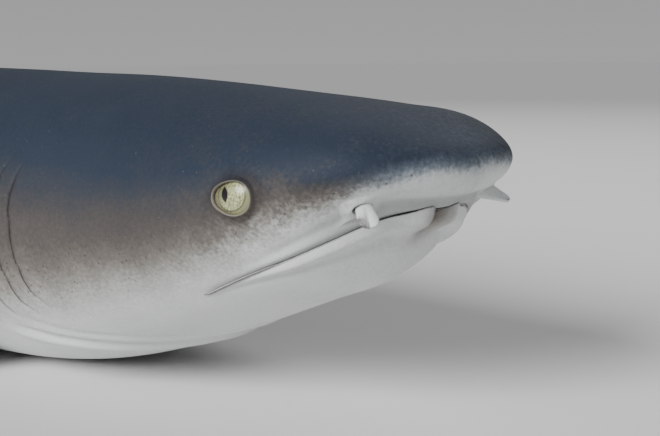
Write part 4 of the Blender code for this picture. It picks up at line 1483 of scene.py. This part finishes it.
# The surround's tones, from the level of the horizon upwards.
WORLD_TONES = ((0.0, (1.6, 1.6, 1.6, 1.0)), (0.30, (0.92, 0.93, 0.95, 1.0)))
WORLD_STRENGTH = 0.26
CAMERA_POSITION = np.array([0.3313, -0.4357, 0.1699])
CAMERA_TURN, CAMERA_DROP, CAMERA_ROLL = math.radians(44.1), math.radians(7.25), math.radians(-0.67)
CAMERA_LENS_MM, SENSOR_WIDTH_MM = 70.9, 36.0


def floor_square():
    corners = FLOOR_HALF_M * np.array([(-1, -1, 0), (1, -1, 0), (1, 1, 0), (-1, 1, 0)], float)
    return new_object("floor", corners, [(0, 1, 2, 3)])


def soft_sun(name, towards, strength, angle_deg):
    """Even light from one side, as of a very large far lamp."""
    data = bpy.data.lights.new(name, "SUN")
    data.energy = strength
    data.angle = math.radians(angle_deg)
    lamp = bpy.data.objects.new(name, data)
    bpy.context.scene.collection.objects.link(lamp)
    lamp.rotation_euler = Vector(towards).to_track_quat("Z", "Y").to_euler()


def studio_world():
    """Soft surround: pale at the level of the horizon, dimmer overhead."""
    n = Nodes(bpy.data.worlds.new("studio"), "Background")
    height = n.node("SeparateXYZ", "Z", {0: n.place("Generated")})
    return n.done({"Color": n.ramp(height, WORLD_TONES), "Strength": WORLD_STRENGTH})


def photo_camera():
    """The photo's view: aimed by its turn, drop and roll."""
    level = np.array([-math.sin(CAMERA_TURN), math.cos(CAMERA_TURN), 0.0])
    ahead = level * math.cos(CAMERA_DROP) - np.array([0, 0, math.sin(CAMERA_DROP)])
    right = np.cross(level, (0, 0, 1))
    above = np.cross(right, ahead)
    lens = bpy.data.cameras.new("camera")
    lens.lens = CAMERA_LENS_MM
    lens.sensor_width = SENSOR_WIDTH_MM
    camera = bpy.data.objects.new("camera", lens)
    bpy.context.scene.collection.objects.link(camera)
    rolled_right = right * math.cos(CAMERA_ROLL) + above * math.sin(CAMERA_ROLL)
    rolled_up = above * math.cos(CAMERA_ROLL) - right * math.sin(CAMERA_ROLL)
    stand = Matrix([rolled_right, rolled_up, -ahead]).transposed().to_4x4()
    stand.translation = Vector(CAMERA_POSITION + SHIFT)
    camera.matrix_world = stand
    return camera


floor = floor_square()
floor.data.materials.append(floor_material())
for name, (towards, strength, angle_deg) in LAMPS.items():
    soft_sun(name, towards, strength, angle_deg)
bpy.context.scene.world = studio_world()
bpy.context.scene.camera = photo_camera()
